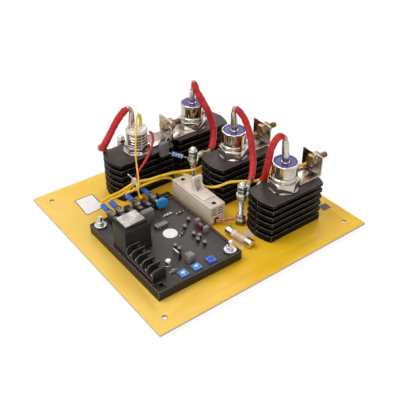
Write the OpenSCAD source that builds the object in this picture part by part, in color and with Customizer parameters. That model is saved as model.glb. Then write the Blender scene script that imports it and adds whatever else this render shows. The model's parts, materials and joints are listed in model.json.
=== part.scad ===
// Open-frame automatic voltage regulator: a half-controlled rectifier bridge on four
// finned heatsinks, a potted control module, a fuse holder and terminal posts, all
// bolted to one laminate board. Millimetres, +Z up, origin on the board's top face
// at the centre of its corner holes.

/* [Board] */
// Width of the board along X
board_w = 286; // [280:1:320]
// Depth of the board along Y
board_d = 274; // [270:1:310]
// Thickness of the laminate
board_t = 3; // [2:0.5:5]
// Distance from the edges to the corner holes
corner_inset = 17; // [12:1:20]
// Diameter of the corner holes
corner_hole_d = 5.5; // [4:0.5:7]

/* [Heatsinks] */
// Length of a heatsink along X
sink_l = 86; // [80:1:88]
// Width of a heatsink along Y
sink_w = 42; // [38:1:44]
// Thickness of the foot plate
sink_base_t = 8; // [6:0.5:10]
// Thickness of a fin
fin_t = 4; // [3:0.25:5]
// Air gap between fins
fin_gap = 4.5; // [3.5:0.25:5.5]
// Number of fins above the foot plate, the top plate included
fin_count = 5; // [4:1:5]
// How far the ends bow out
end_bow = 5.5; // [3:0.5:7]
// Thickness of the upright web between the fins
web_t = 3; // [2:0.5:6]
// Diameter of the boss that takes the device's stud
boss_d = 30; // [26:1:34]
// Middle of the right-hand heatsinks along X
sink_row_x = 68.5; // [66:0.5:72]
// Middle of heatsink a, under the thyristor, along Y
sink_a_y = 87; // [84:0.5:90]
// Middle of heatsink b along Y
sink_b_y = 93; // [90:0.5:96]
// Middle of heatsink c along Y
sink_c_y = 8; // [5:0.5:10]
// Middle of heatsink d along Y
sink_d_y = -78; // [-80:0.5:-77]
// Spacing of the two bolts under a heatsink
sink_bolt_gap = 56; // [40:1:64]

/* [Power devices] */
// How far the device's axis stands off the middle of the heatsink
device_off = 3; // [0:0.5:5]
// Diameter of the device's stud
stud_d = 16; // [12:1:20]
// Length of the device's stud below its hexagon
stud_l = 20; // [16:1:24]
// Diodes' hexagon across flats
hex_af = 32; // [30:0.5:33]
// Thyristor's hexagon across flats
scr_hex_af = 27; // [26:0.5:30]
// Height of the hexagon
hex_h = 11; // [8:0.5:13]
// Outer diameter of the rim
rim_d = 30; // [28:0.2:31]
// Height of a diode's can from its seat to the rim
can_h = 32.5; // [30:0.5:34]
// Depth of the enamel's recess
recess_h = 2.6; // [2:0.2:4]
// Outer diameter of the lead tube
tube_d = 7.8; // [7:0.2:8.4]
// Length of the lead tube above the rim
tube_l = 27; // [24:0.5:30]
// Diameter of the thyristor's body and ceramic
scr_d = 25.6; // [24:0.2:26]
// Height of the thyristor's metal body
scr_body_h = 20; // [18:0.5:21]
// Height of the thyristor's ceramic
scr_ceramic_h = 9; // [7:0.5:10]

/* [Terminal brackets] */
// Thickness of the bracket's sheet
bracket_t = 1.5; // [1:0.25:2]
// Width of the brackets that stand back to back
pair_w = 26; // [24:0.5:28]
// Width of the two end brackets
end_w = 30.5; // [28:0.5:32]
// Diameter of the eye under the device
eye_d = 34.5; // [32:0.5:36]
// Height of the upright above the heatsink
bracket_up = 25; // [24:0.5:28]
// Height of the terminal bolt above the heatsink
bolt_up = 17; // [16:0.5:18]
// Diameter of the terminal bolt
term_d = 8; // [6:0.5:9]
// Root diameter of the thread on the bolt's free end, past its nut
term_free_d = 6.8; // [5:0.1:7.4]
// Length of the bolt beyond the bracket
term_reach = 18; // [16:0.5:24]
// Across flats of the terminal bolt's head and nut
term_af = 13; // [11:0.5:14]
// Height of the terminal bolt's head
term_head_h = 5.4; // [4:0.2:6]
// Height of the terminal nut
term_nut_h = 6.4; // [5:0.2:7]
// Thickness of the small ring terminals
ring_t = 0.8; // [0.6:0.1:1.2]

/* [Posts] */
// Diameter of a post's stud
post_d = 6; // [5:0.5:7]
// Across flats of the post nuts
post_af = 10; // [9:0.5:11]
// Height of a post nut
post_nut_h = 5; // [4:0.2:6]
// Height of the hexagon spacer at the foot
spacer_h = 6; // [5:0.5:8]
// Height at which the upper nuts start
post_seat_z = 34; // [30:0.5:36]
// Diameter of the washers
washer_d = 12; // [11.5:0.5:13]
// Thickness of the washers
washer_t = 1.2; // [1:0.1:1.6]
// Thickness of a lug's palm
lug_t = 1.6; // [1.2:0.1:2]
// Height of the domed nut
cap_h = 9; // [8:0.5:10]

/* [Control module] */
// Width of the tray along X
tray_w = 107; // [104:1:109]
// Depth of the tray along Y
tray_d = 138; // [136:1:140]
// Height of the tray
tray_h = 12; // [11:0.5:13]
// Wall of the tray
tray_wall = 2.5; // [2:0.25:3]
// Floor of the tray
tray_floor = 2; // [1.5:0.25:3]
// Middle of the tray along X
tray_x = -65.5; // [-67:0.5:-65]
// Middle of the tray along Y
tray_y = -31; // [-32:0.5:-30]
// Distance of the fixing holes from the tray's edges
tray_inset = 9; // [8:0.5:10]
// Diameter of the fixing holes
tray_hole_d = 5.6; // [5.2:0.2:6.2]
// Depth of the resin below the tray's rim
resin_drop = 1.5; // [0.5:0.25:2.5]
// Width of the transformer along X
trafo_w = 32; // [28:1:34]
// Depth of the transformer along Y
trafo_d = 25; // [22:0.5:25]
// Height of the transformer above the resin
trafo_h = 33; // [28:1:36]
// Pitch of the tabs on the spade strip
tab_pitch = 11; // [10.5:0.1:11.2]
// Pitch of the cells of the barrier strip
cell_pitch = 9.6; // [9.2:0.1:9.8]
// Side of a trimmer
trim_side = 9.6; // [9:0.1:10.5]
// Height of a trimmer above the resin
trim_h = 2.25; // [2:0.25:3]
// Diameter of a trimmer's rotor
rotor_d = 5; // [4:0.25:6]

/* [Fuse holder] */
// Width of the fuse base along X
fuse_w = 22; // [21:0.5:23]
// Length of the fuse base along Y
fuse_l = 74; // [72:0.5:76]
// Height of the fuse base
fuse_h = 25; // [24:0.5:28]
// Middle of the fuse base along X
fuse_x = 6; // [5.5:0.5:7]
// Middle of the fuse base along Y
fuse_y = 2; // [1:0.5:3]
// Spacing of the fuse base's screws
fuse_screw_gap = 60; // [58:0.5:61]
// Width of the pull-out carrier
carrier_w = 15.4; // [15:0.2:16.4]
// Length of the pull-out carrier
carrier_l = 42; // [41:0.5:43]
// Height of the carrier's grip above the base
grip_h = 14; // [10:0.5:16]
// Diameter of a fuse link
link_d = 10.3; // [9.5:0.1:10.5]
// Length of a fuse link
link_l = 38; // [36:0.5:38.5]

/* [Leads] */
// Diameter of the sleeved leads
lead_d = 8.5; // [7:0.5:9]
// Diameter of the bare braid at a lead's end
braid_d = 5; // [4:0.5:6]
// Diameter of the control wires
wire_d = 2.4; // [2:0.1:2.6]
// Diameter of the gate wire
gate_d = 1.6; // [1.2:0.1:2]

/* [Hidden] */
$fn = 48;
eps = 0.01;
// Clearances: sliding pieces, seated pieces and threads
slide_gap = 0.4;
seat_gap = 0.2;
thread_gap = 0.05;
half_turn = 180;

// Heatsink stack
sink_h = sink_base_t + fin_count * (fin_gap + fin_t);
bow_r = (sink_w * sink_w / 4 + end_bow * end_bow) / (2 * end_bow);
sink_a_x = sink_row_x - sink_l - 2 * bracket_t;
sinks = [[sink_a_x, sink_a_y], [sink_row_x, sink_b_y], [sink_row_x, sink_c_y], [sink_row_x, sink_d_y]];
// Direction in which each bracket's upright lies, and the sideways place of its bolt
bracket_dir = [1, -1, 1, 1];
bracket_ws = [pair_w, pair_w, end_w, end_w];
shared_bolt_y = (sink_a_y + sink_b_y) / 2 - 1.3;
pair_y = shared_bolt_y + 2.8;
end_bracket_off = 5;
bracket_ys = [pair_y, pair_y, sink_c_y + end_bracket_off, sink_d_y + end_bracket_off];
end_bolt_off = 2.5;
// As fitted, each device stands a little to one side of the common place
device_shift = [-2, 0, 2, 1.3];
device_at = [for (i = [0:3]) [sinks[i][0] - device_off - device_shift[i], sinks[i][1]]];
hex_turn = [19, 19, 19, 24];
tube_cut = [0, 10.5, 2, 0];
bolt_y = [shared_bolt_y, shared_bolt_y, sink_c_y + end_bolt_off, sink_d_y + end_bolt_off];
bolt_z = sink_h + bolt_up;
seat_z = sink_h + bracket_t;
rim_z = seat_z + can_h;
scr_top = seat_z + scr_body_h + scr_ceramic_h;
scr_tube_l = 21;
scr_tube_off = [-5, 3.5];
scr_gate_off = [6, -0.5];

// Board fasteners
bolt_d = 6;
bolt_af = 10;
bolt_head_h = 4;
module_bolt_d = 5;
module_bolt_top = 24;
module_nut_af = 8;
module_nut_h = 4;
module_washer_d = 14;

// Terminal posts, their lugs and the levels of their nuts
posts = [[27.5, -51], [28, 41.5], [-26, 118]];
lug_z = post_seat_z + post_nut_h;
lug_levels = 2;
top_nut_z = lug_z + lug_levels * lug_t + washer_t;
cap_z = top_nut_z + post_nut_h;
// Each lug: post, level on the post, turn about the post
lugs = [[2, 0, 195], [1, 0, 20], [0, 1, 29], [0, 0, 0]];
lug_palm_d = 13;
lug_reach = 9;
lug_barrel_d = 6.8;
lug_barrel_l = 7;
lug_gap = 0.3;

// Control module
resin_z = tray_h - resin_drop;
tray_lo = [tray_x - tray_w / 2, tray_y - tray_d / 2];
tray_hi = [tray_x + tray_w / 2, tray_y + tray_d / 2];
hole_x = tray_w / 2 - tray_inset;
hole_y = tray_d / 2 - tray_inset;
boss_out = 13;
module_bolts_at = [[tray_x - hole_x, tray_y + hole_y], [tray_x + hole_x, tray_y - hole_y]];
// Places on the resin are drawn for this tray and spread with it
drawn_w = 107;
drawn_d = 138;
function spot(dx, dy) = [tray_x + dx * tray_w / drawn_w, tray_y + dy * tray_d / drawn_d];

// Spade strip along the module's far edge
tab_count = 6;
tab_x0 = tray_lo[0] + 25.5;
tab_w = 6.3;
tab_t = 0.8;
tab_z = resin_z + 7.5;
strip_y0 = tray_hi[1] - 21;
strip_y1 = strip_y0 + 14;
strip_base_h = 6;
fence_t = 1.6;
fence_h = 12;
tab_y1 = strip_y0 + 19;
wired_tabs = [0, 1, 3, 5];
shell_w = 7.6;
shell_t = 3;
shell_y0 = strip_y0 + 10;
shell_y1 = shell_y0 + 12;
barrel_d = 4;
barrel_y1 = shell_y1 + 6;
sleeve_d = 6.4;
sleeve_y0 = shell_y1 + 0.3;
sleeve_y1 = shell_y1 + 13;
wire_end_y = barrel_y1 + 0.3;

// Barrier strip along the module's left edge
cell_count = 5;
barrier_at = [tray_lo[0] + 3, tray_lo[1] + 16.2];
barrier_l = 17;
barrier_base_h = 4.5;
barrier_fence_t = 1.8;
barrier_fence_h = 16;
barrier_back_t = 3;
barrier_round = 6;
screw_x = 5.5;
pan_d = 6.6;
pan_h = 2.4;
pan_shank_d = 3.5;
trafo_skirt = 0.6;
trafo_x = tray_lo[0] + 20;
trafo_y = barrier_at[1] + cell_count * cell_pitch + barrier_fence_t / 2 + slide_gap + trafo_skirt +
    trafo_d / 2;
trafo_at = [trafo_x, trafo_y];

// Trimmers
trims_at = [spot(-17, -60), spot(-0.3, -60), spot(18.5, -60)];
rotor_h = 1.5;
rotor_gap = 0.06;
slot_w = 0.9;
slot_h = 0.5;

// Fuse holder
carrier_y = fuse_y + 1;
carrier_foot = 7.6;
slot_lo = carrier_foot - seat_gap;
link_z = carrier_foot + 6;
trough_w = 13;
grip_w = 12;
grip_d = 8;
grip_y = carrier_y + 2;
grip_back_t = 2.6;
cheek_t = 1.8;
cheek_top_l = 1.4;
cheek_knee_h = 5;
pocket_l = 8;
pocket_drop = 3.6;
clip_t = 0.8;
clip_l = 8;
clip_up = 8;
screw_head_d = 8.4;
vent_rows = 3;
vent_h = 1.1;
vent_w = 6.5;
vent_pitch = 3.4;
wire_mouth = [6, 12, 6.5];
mouth_off = -1.5;
mouth_z = 2.5;

// Spare fuse that lies on the board
spare_at = [6.5, -74.2];
spare_turn = 7;

// Snubber across the shared terminal and post b
snub_at = [0, 62, 46];
snub_size = [11, 6, 18];
snub_lead_d = 1;

// The routes below are drawn for these places, and their ends move with the pieces they join
drawn_device = [[-21.5, 87], [65.5, 93], [63.5, 8], [64.2, -78]];
drawn_post = [[27.5, -51], [28, 41.5], [-26, 118]];
drawn_tab = [-93.5, 45.3, 18];
drawn_bolt = [111.5, 67.5];
drawn_bolt_y = [0, 0, 10.5, -75.5];
function off3(a, b) = [a[0] - b[0], a[1] - b[1], 0];
function device_move(i) = off3(device_at[i], drawn_device[i]);
function post_move(i) = off3(posts[i], drawn_post[i]);
tab_move = [tab_x0, wire_end_y, tab_z] - drawn_tab;
function bolt_move(i) = [sinks[i][0] + sink_l / 2, bolt_y[i], bolt_z] - [drawn_bolt[0],
    drawn_bolt_y[i], drawn_bolt[1]];
// The first and the last points of a route move fully, those between by their share
function pulled(p, v0, v1) = [for (i = [0:len(p) - 1]) let (t = i / (len(p) - 1)) p[i] + (1 - t) * v0 +
    t * v1];
function held(p, v0, n0, v1, n1) = [for (i = [0:len(p) - 1])
    p[i] + max(0, 1 - i / n0) * v0 + max(0, 1 - (len(p) - 1 - i) / n1) * v1];

// Sleeves of the red leads
lead_a = pulled([[-32.7, 92.2, 105.5], [-33.4, 92.4, 104.8], [-38.5, 93.6, 97.9], [-44.3, 95.2, 89.4],
    [-49.5, 97.2, 79.6], [-54.2, 99.4, 70.2], [-58.2, 101.8, 62], [-59.6, 105.4, 57.4],
    [-58.3, 110.2, 54.6], [-55, 113.4, 51.4]], device_move(0), post_move(2));
lead_b = pulled([[69, 89.5, 105.9], [69.8, 88, 104.2], [70.6, 83.6, 98.4], [71.3, 78.2, 91.4],
    [73.2, 73.6, 82.3], [76, 72.2, 74], [78.2, 71, 66.6], [79, 67, 54], [76, 62.6, 45.2],
    [70.6, 57.8, 38.6], [65.4, 54.2, 35.8]], device_move(1), post_move(1));
lead_c = pulled([[67.9, 4, 113.3], [68.9, 2.8, 112.2], [70.6, 0, 106.4], [71.6, -3.6, 99],
    [71.4, -7.8, 91.6], [70.2, -14, 78.8], [68.2, -19.6, 67.8], [65, -25.4, 58],
    [59.4, -31.6, 49.8], [54.5, -35.6, 45.4]], device_move(2), post_move(0));
lead_d_pts = pulled([[59.3, -76.5, 115.6], [57, -75.8, 116], [53.2, -74.2, 114.4], [50, -72, 110],
    [48.3, -69.6, 103], [47.6, -67.2, 95.4], [48, -65, 86], [49, -63, 76.6],
    [51, -59.8, 63.4], [52.8, -54.5, 54.8], [54, -51, 49.6]], device_move(3), post_move(0));
// Bare ends of the red leads: up from the tube, and into the lug
function lug_dir(i) = [cos(lugs[i][2]), sin(lugs[i][2]), 0];
function lug_mouth(i) = [posts[lugs[i][0]][0], posts[lugs[i][0]][1], lug_z + (lugs[i][1] + 0.5) * lug_t]
    + (lug_reach + lug_barrel_l + lug_gap) * lug_dir(i);
function start_dir(p) = (p[1] - p[0]) / norm(p[1] - p[0]);
function end_dir(p) = (p[len(p) - 1] - p[len(p) - 2]) / norm(p[len(p) - 1] - p[len(p) - 2]);
neck_d = braid_d - 1;
function bent(a, b, c, d, n) = [for (i = [0:n]) let (t = i / n, u = 1 - t)
    u * u * u * a + 3 * u * u * t * b + 3 * u * t * t * c + t * t * t * d];
function neck(foot, sleeve) = let (d = start_dir(sleeve), up = [0, 0, 1]) concat([foot],
    bent(foot + 0.6 * up, foot + 2.6 * up, sleeve[0] - 3.1 * d, sleeve[0] - 0.6 * d, 5), [sleeve[0]]);
function tail(sleeve, mid, i) = concat([sleeve[len(sleeve) - 1], sleeve[len(sleeve) - 1] +
    1.4 * end_dir(sleeve)], mid,
    [lug_mouth(i) + 2.6 * lug_dir(i), lug_mouth(i)]);
function tube_foot(i) = [device_at[i][0], device_at[i][1], rim_z + tube_l - tube_cut[i]];
scr_foot = [device_at[0][0] + scr_tube_off[0], device_at[0][1] + scr_tube_off[1], scr_top + scr_tube_l];
tail_a = tail(lead_a, [[-50, 114.2, 46.4], [-47.2, 113.2, 42]], 0);
tail_b = tail(lead_b, [[59.6, 51.6, 34.8], [53.4, 49.8, 36.4], [48.6, 48.6, 38.6]], 1);
tail_c = tail(lead_c, [[48.6, -39.2, 42.4]], 2);
tail_d = tail(lead_d_pts, [[54, -49.6, 44.6], [50.8, -50.2, 40.8]], 3);

// Routes of the control wires
tongue_at = [184, 0, -45, -45];
tongue_l = 12.8;
function tongue_out(i, l) = [sinks[i][0] + sink_l / 2 - wire_d / 2 - seat_gap, bolt_y[i] +
    l * cos(tongue_at[i]),
    bolt_z + l * sin(tongue_at[i])];
wire_c = held(concat([tongue_out(2, tongue_l + 0.3) - bolt_move(2), tongue_out(2, tongue_l + 3)
    - bolt_move(2)],
    [[109.3, 25.2, 54.8], [106.6, 29.6, 54.2], [102, 33, 52], [96, 33.8, 49.4], [75, 33.8, 44.5],
    [50, 33.8, 36.6],
    [40, 34.6, 31.6], [33, 35.2, 29.6], [25.5, 36.8, 28.4], [15.4, 44.6, 26.2], [1, 47.2, 28.8],
    [-15.5, 49.4, 31.6],
    [-28, 52, 32], [-40, 54.8, 33.4], [-48, 55.9, 33.5], [-57, 57.6, 28], [-66, 58.6, 23],
    [-76, 59.4, 20.8],
    [-86, 59.4, 19], [-91.6, 57.8, 18.2], [-93.5, 54.4, 18], drawn_tab]), bolt_move(2), 5, tab_move, 7);
wire_dd = held(concat([tongue_out(3, tongue_l + 0.3) - bolt_move(3), tongue_out(3, tongue_l + 3)
    - bolt_move(3)],
    [[108.6, -62.6, 55], [104, -62, 54.8], [98, -59.6, 54.4], [91, -55.6, 52.4], [80, -51, 47.6],
    [68, -46, 43.4],
    [57.4, -39.4, 40.6], [45, -28, 38.6], [36, -19.4, 36.4], [28.4, -13.6, 32], [23, -6.6, 28],
    [19.8, 3, 24.6],
    [19.6, 12, 22], [19.8, 32, 21.6], [17.2, 42, 22.4], [8, 48.6, 24.6], [0, 50.2, 26.4], [-15.5, 52.4, 29],
    [-28, 55, 29.6], [-40, 57, 30], [-48, 57.6, 30], [-56, 57, 24.4], [-66, 56, 19.4], [-76, 56.8, 18.2],
    [-81.4, 55.6, 18], [-82.5, 53.2, 18], [-82.5, 45.3, 18]]), bolt_move(3), 5, tab_move, 6);
wire_fuse = held([[7.5, 36.2, 5.8], [7.5, 40.4, 6.2], [5, 44, 12], [0, 46.6, 20], [-8, 48.6, 26],
    [-15.5, 49.4, 28.4],
    [-28, 50.8, 28.8], [-40, 51.4, 28.8], [-48, 51.4, 28.4], [-53, 52.4, 24.6], [-58, 55, 19.6],
    [-60.2, 54.8, 18.2],
    [-60.5, 52.8, 18], [-60.5, 45.3, 18]], [0, 0, 0], 4, tab_move, 4);
gate_sleeve_pts = pulled([[-15.5, 86.5, 87.2], [-15.6, 86.4, 90], [-17.2, 85.2, 96.4], [-19.8, 83.6, 98.6],
    [-22.4, 82, 96.6], [-24.2, 80.8, 92]], device_move(0), device_move(0));
gate_pts = held([[-24.2, 80.8, 92], [-27, 77.8, 87.2], [-31.8, 72.2, 74], [-37.6, 65, 58.5],
    [-41.4, 57.4, 46],
    [-44.6, 50.6, 38], [-47, 46.2, 31.6], [-49, 45, 25], [-49.5, 42.6, 19.6], [-49.5, 40, 18.2],
    [-49.5, 36.5, 18]],
    device_move(0), 4, tab_move, 4);
red_pts = held([[-5.6, 84.5, 69], [-3.6, 83.8, 69.2], [-3, 80.8, 66], [-6, 76, 60.8], [-15.5, 67.6, 56.4],
    [-24, 63.4, 50], [-32, 62.6, 42.4], [-38.4, 62.2, 35.4], [-41, 61.4, 28], [-40.4, 59.4, 21.4],
    [-38.8, 56.4, 18.4], [-38.5, 53.4, 18], [-38.5, 45.3, 18]], device_move(0), 4, tab_move, 4);
copper_pts = pulled([[4.5, -32.3, 5.8], [4.5, -37, 5.9], [8.5, -40.6, 6], [14.5, -43.6, 6.4],
    [21.8, -47.8, 7.3]],
    [0, 0, 0], post_move(0));
copper_gap = 2.2;
tie_at = [-48, 54.2, 30.8];
tie_r = 5.6;
tie_band = [2.4, 1];

// Sweeping of round leads along their points
function unit(v) = v / norm(v);
function run_dir(p, i) =
    unit(p[min(i + 1, len(p) - 1)] - p[max(i - 1, 0)]);
function turn_about(v, k, c, s) = v * c + cross(k, v) * s + k * (k * v) * (1 - c);
function carry(n, t0, t1) =
    let (k = cross(t0, t1), s = norm(k), c = t0 * t1)
    s < 0.0001 ? n : turn_about(n, k / s, c, s);
function start_normal(t) = unit(cross(t, abs(t[2]) < 0.9 ? [0, 0, 1] : [1, 0, 0]));
function normals(p, i = 0, n = undef) =
    let (t = run_dir(p, i), m = is_undef(n) ? start_normal(t) : carry(n, run_dir(p, i - 1), t))
    i == len(p) - 1 ? [m] : concat([m], normals(p, i + 1, m));

module lead_tube(p, d, sides = 8) {
    n = normals(p);
    last = len(p) - 1;
    rings = [for (i = [0:last]) let (t = run_dir(p, i), b = cross(t, n[i]))
        for (k = [0:sides - 1]) p[i] + d / 2 * (cos(360 * k / sides) * n[i] + sin(360 * k / sides) * b)];
    walls = [for (i = [0:last - 1], k = [0:sides - 1]) let (m = (k + 1) % sides)
        each [[i * sides + k, (i + 1) * sides + k, (i + 1) * sides + m], [i * sides + k, (i + 1)
            * sides + m, i * sides + m]]];
    foot = [[for (k = [0:sides - 1]) k]];
    head = [[for (k = [sides - 1:-1:0]) last * sides + k]];
    polyhedron(rings, concat(walls, foot, head));
}

// Round solids between two heights, and hexagons by their flats
module rod(d, z0, z1) {
    translate([0, 0, z0]) cylinder(d = d, h = z1 - z0);
}
module hex(af, z0, z1) {
    translate([0, 0, z0]) cylinder(d = af / cos(30), h = z1 - z0, $fn = 6);
}
module nut(af, d, z0, h) {
    difference() {
        hex(af, z0, z0 + h);
        rod(d + 2 * thread_gap, z0 - 1, z0 + h + 1);
    }
}
module washer(d, hole, z0, t) {
    difference() {
        rod(d, z0, z0 + t);
        rod(hole, z0 - 1, z0 + t + 1);
    }
}
module each_corner(dx, dy) {
    for (x = [-dx, dx], y = [-dy, dy]) translate([x, y, 0]) children();
}
module along_x() {
    rotate([0, 90, 0]) children();
}

// Board
module base_board() {
    color("gold") difference() {
        translate([-board_w / 2, -board_d / 2, -board_t]) cube([board_w, board_d, board_t]);
        each_corner(board_w / 2 - corner_inset, board_d / 2 - corner_inset) rod(corner_hole_d,
            -board_t - 1, 1);
        for (s = sinks) sink_bolts_of(s) rod(bolt_d + seat_gap, -board_t - 1, 1);
        for (p = module_bolts_at) translate(p) rod(module_bolt_d + seat_gap, -board_t - 1, 1);
        for (p = posts) translate(p) rod(post_d + seat_gap, -board_t - 1, 1);
        fuse_screws_at() rod(pan_shank_d + seat_gap, -board_t - 1, 1);
    }
}
module sink_bolts_of(s) {
    for (x = [-1, 1]) translate([s[0] + x * sink_bolt_gap / 2, s[1], 0]) children();
}
module board_bolts() {
    color("silver") {
        for (s = sinks) sink_bolts_of(s) {
            hex(bolt_af, -board_t - bolt_head_h, -board_t);
            rod(bolt_d, -board_t - eps, sink_base_t - 1.5);
        }
        for (p = module_bolts_at) translate(p) {
            hex(bolt_af, -board_t - bolt_head_h, -board_t);
            rod(module_bolt_d, -board_t - eps, module_bolt_top);
        }
    }
}

// Heatsinks: bowed plates on one upright web, with a boss for the device's stud
module sink_outline() {
    intersection() {
        square([sink_l, sink_w], center = true);
        translate([sink_l / 2 - bow_r, 0]) circle(r = bow_r, $fn = 96);
        translate([bow_r - sink_l / 2, 0]) circle(r = bow_r, $fn = 96);
    }
}
module heatsink(i) {
    color("#1c1b1b") translate(sinks[i]) difference() {
        union() {
            linear_extrude(sink_base_t) sink_outline();
            for (k = [1:fin_count]) translate([0, 0, sink_base_t + k * (fin_gap + fin_t) - fin_t])
                linear_extrude(fin_t) sink_outline();
            translate([-sink_l / 2, -web_t / 2, eps]) cube([sink_l, web_t, sink_h - 2 * eps]);
            translate([device_at[i][0] - sinks[i][0], 0, 0]) rod(boss_d, eps, sink_h - eps);
        }
        translate([device_at[i][0] - sinks[i][0], 0, 0]) rod(stud_d + 2 * thread_gap,
            sink_h - stud_l - 1, sink_h + 1);
        for (x = [-1, 1]) translate([x * sink_bolt_gap / 2, 0, 0])
            rod(bolt_d + 2 * thread_gap, -1, sink_base_t - 1);
    }
}
module heatsink_a() { heatsink(0); }
module heatsink_b() { heatsink(1); }
module heatsink_c() { heatsink(2); }
module heatsink_d() { heatsink(3); }

// Brackets: an eye under the device, a flat leg and an upright past the heatsink's end
module bracket(i) {
    dir = bracket_dir[i];
    leg = dir * (sinks[i][0] - device_at[i][0]) + sink_l / 2 + bracket_t;
    w = bracket_ws[i];
    y0 = bracket_ys[i] - sinks[i][1] - w / 2;
    color("#b9aca2") translate([device_at[i][0], device_at[i][1], sink_h]) difference() {
        union() {
            rod(eye_d, 0, bracket_t);
            translate([dir > 0 ? 0 : -leg, y0, 0]) cube([leg, w, bracket_t]);
            translate([dir > 0 ? leg - bracket_t : -leg, y0, 0]) cube([bracket_t, w, bracket_up]);
        }
        rod(stud_d + 2 * seat_gap, -1, bracket_t + 1);
        translate([dir * leg, bolt_y[i] - sinks[i][1], bolt_up]) along_x()
            cylinder(d = term_d + 2 * seat_gap, h = 4 * bracket_t, center = true);
    }
}
module bracket_a() { bracket(0); }
module bracket_b() { bracket(1); }
module bracket_c() { bracket(2); }
module bracket_d() { bracket(3); }

// Power devices: hexagon base with its corners turned off, stud below, body above
module device_base(af, turn) {
    rod(stud_d, -bracket_t - stud_l, eps);
    rotate(turn) intersection() {
        hex(af, 0, hex_h);
        rotate_extrude() polygon([[0, 0], [af, 0], [af, hex_h - 5.5], [af / 2 - 0.6, hex_h], [0, hex_h]]);
    }
}
module at_device(i) {
    translate([device_at[i][0], device_at[i][1], seat_z]) children();
}
lip = 1.8;
module diode_case(i) {
    rim_r = rim_d / 2;
    neck_r = rim_r - 1.4;
    color("#d8d2c8") at_device(i) {
        device_base(hex_af, hex_turn[i]);
        rotate_extrude() polygon([[0, hex_h - eps], [neck_r, hex_h - eps], [neck_r, hex_h + 0.8],
            [rim_r, hex_h + 1.8],
            [rim_r, hex_h + 3.4], [neck_r + 0.2, hex_h + 4.2], [neck_r + 0.2, hex_h + 5.2],
            [rim_r - 0.6, hex_h + 6],
            [rim_r - 0.6, can_h - 3.4], [rim_r, can_h - 2.6], [rim_r, can_h - 0.5], [rim_r - 0.5, can_h],
            [rim_r - lip, can_h], [rim_r - lip, can_h - recess_h], [0, can_h - recess_h]]);
    }
}
module diode_case_b() { diode_case(1); }
module diode_case_c() { diode_case(2); }
module diode_case_d() { diode_case(3); }
module diode_seals() {
    meniscus = 0.9;
    fit = 0.06;
    color("#2f3bb5") for (i = [1:3]) at_device(i) difference() {
        rod(rim_d - 2 * lip - fit, can_h - recess_h, can_h - meniscus);
        rod(tube_d + fit, can_h - recess_h - 1, can_h);
    }
}
module lead_pipe(z0, z1) {
    r = tube_d / 2;
    rotate_extrude() polygon([[0, z0], [r, z0], [r, z0 + 5], [r - 0.5, z0 + 6], [r - 0.3, z0 + 9],
        [r + 0.2, z0 + 13], [r - 0.2, z1 - 4], [r - 0.5, z1], [0, z1]]);
}
module diode_tubes() {
    color("#cfc6b8") for (i = [1:3]) at_device(i) lead_pipe(can_h - recess_h, can_h + tube_l - tube_cut[i]);
}
module thyristor_case() {
    r = scr_d / 2;
    color("#cdc4b6") at_device(0) {
        device_base(scr_hex_af, hex_turn[0]);
        rotate_extrude() polygon([[0, hex_h - eps], [r + 0.8, hex_h - eps], [r + 0.8, hex_h + 1],
            [r - 0.4, hex_h + 1.6],
            [r - 0.4, hex_h + 2.6], [r, hex_h + 3], [r, hex_h + 4.2], [r - 0.4, hex_h + 4.6], [r - 0.4,
            hex_h + 5.4],
            [r, hex_h + 5.8], [r, scr_body_h], [0, scr_body_h]]);
    }
}
module scr_tube_place() {
    translate(scr_tube_off) children();
}
module scr_gate_place() {
    translate(scr_gate_off) children();
}
module thyristor_ceramic() {
    r = scr_d / 2;
    z1 = scr_body_h + scr_ceramic_h;
    color("#ece7df") at_device(0) difference() {
        rotate_extrude() polygon([[0, scr_body_h], [r + 0.5, scr_body_h], [r + 0.5, scr_body_h + 1],
            [r, scr_body_h + 1.6],
            [r, z1 - 1], [r - 1, z1], [0, z1]]);
        scr_tube_place() rod(tube_d, z1 - 4, z1 + 1);
        scr_gate_place() rod(gate_tube_d, z1 - 4, z1 + 1);
    }
}
gate_tube_d = 2.8;
gate_tube_l = 6;
module thyristor_tubes() {
    z1 = scr_body_h + scr_ceramic_h;
    color("#cfc6b8") at_device(0) {
        scr_tube_place() lead_pipe(z1 - 4, z1 + scr_tube_l);
        scr_gate_place() rod(gate_tube_d, z1 - 4, z1 + gate_tube_l);
    }
}

// Terminal bolts through the uprights, heads inwards
module at_upright(i) {
    x = sinks[i][0] + sink_l / 2;
    translate([x, bolt_y[i], bolt_z]) along_x() rotate(30) children();
}
function stack_t(i) = i == 0 ? 2 * bracket_t : bracket_t;
module terminal_bolts() {
    color("#b08a4a") for (i = [0, 2, 3]) at_upright(i) {
        hex(term_af, -ring_t - term_head_h, -ring_t);
        rod(term_d, -ring_t - eps, stack_t(i) + term_nut_h);
        rod(term_free_d, stack_t(i) + term_nut_h - eps, stack_t(i) + term_reach);
    }
}
module terminal_nuts() {
    color("#b08a4a") for (i = [0, 2, 3]) at_upright(i) nut(term_af, term_d, stack_t(i), term_nut_h);
}

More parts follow.
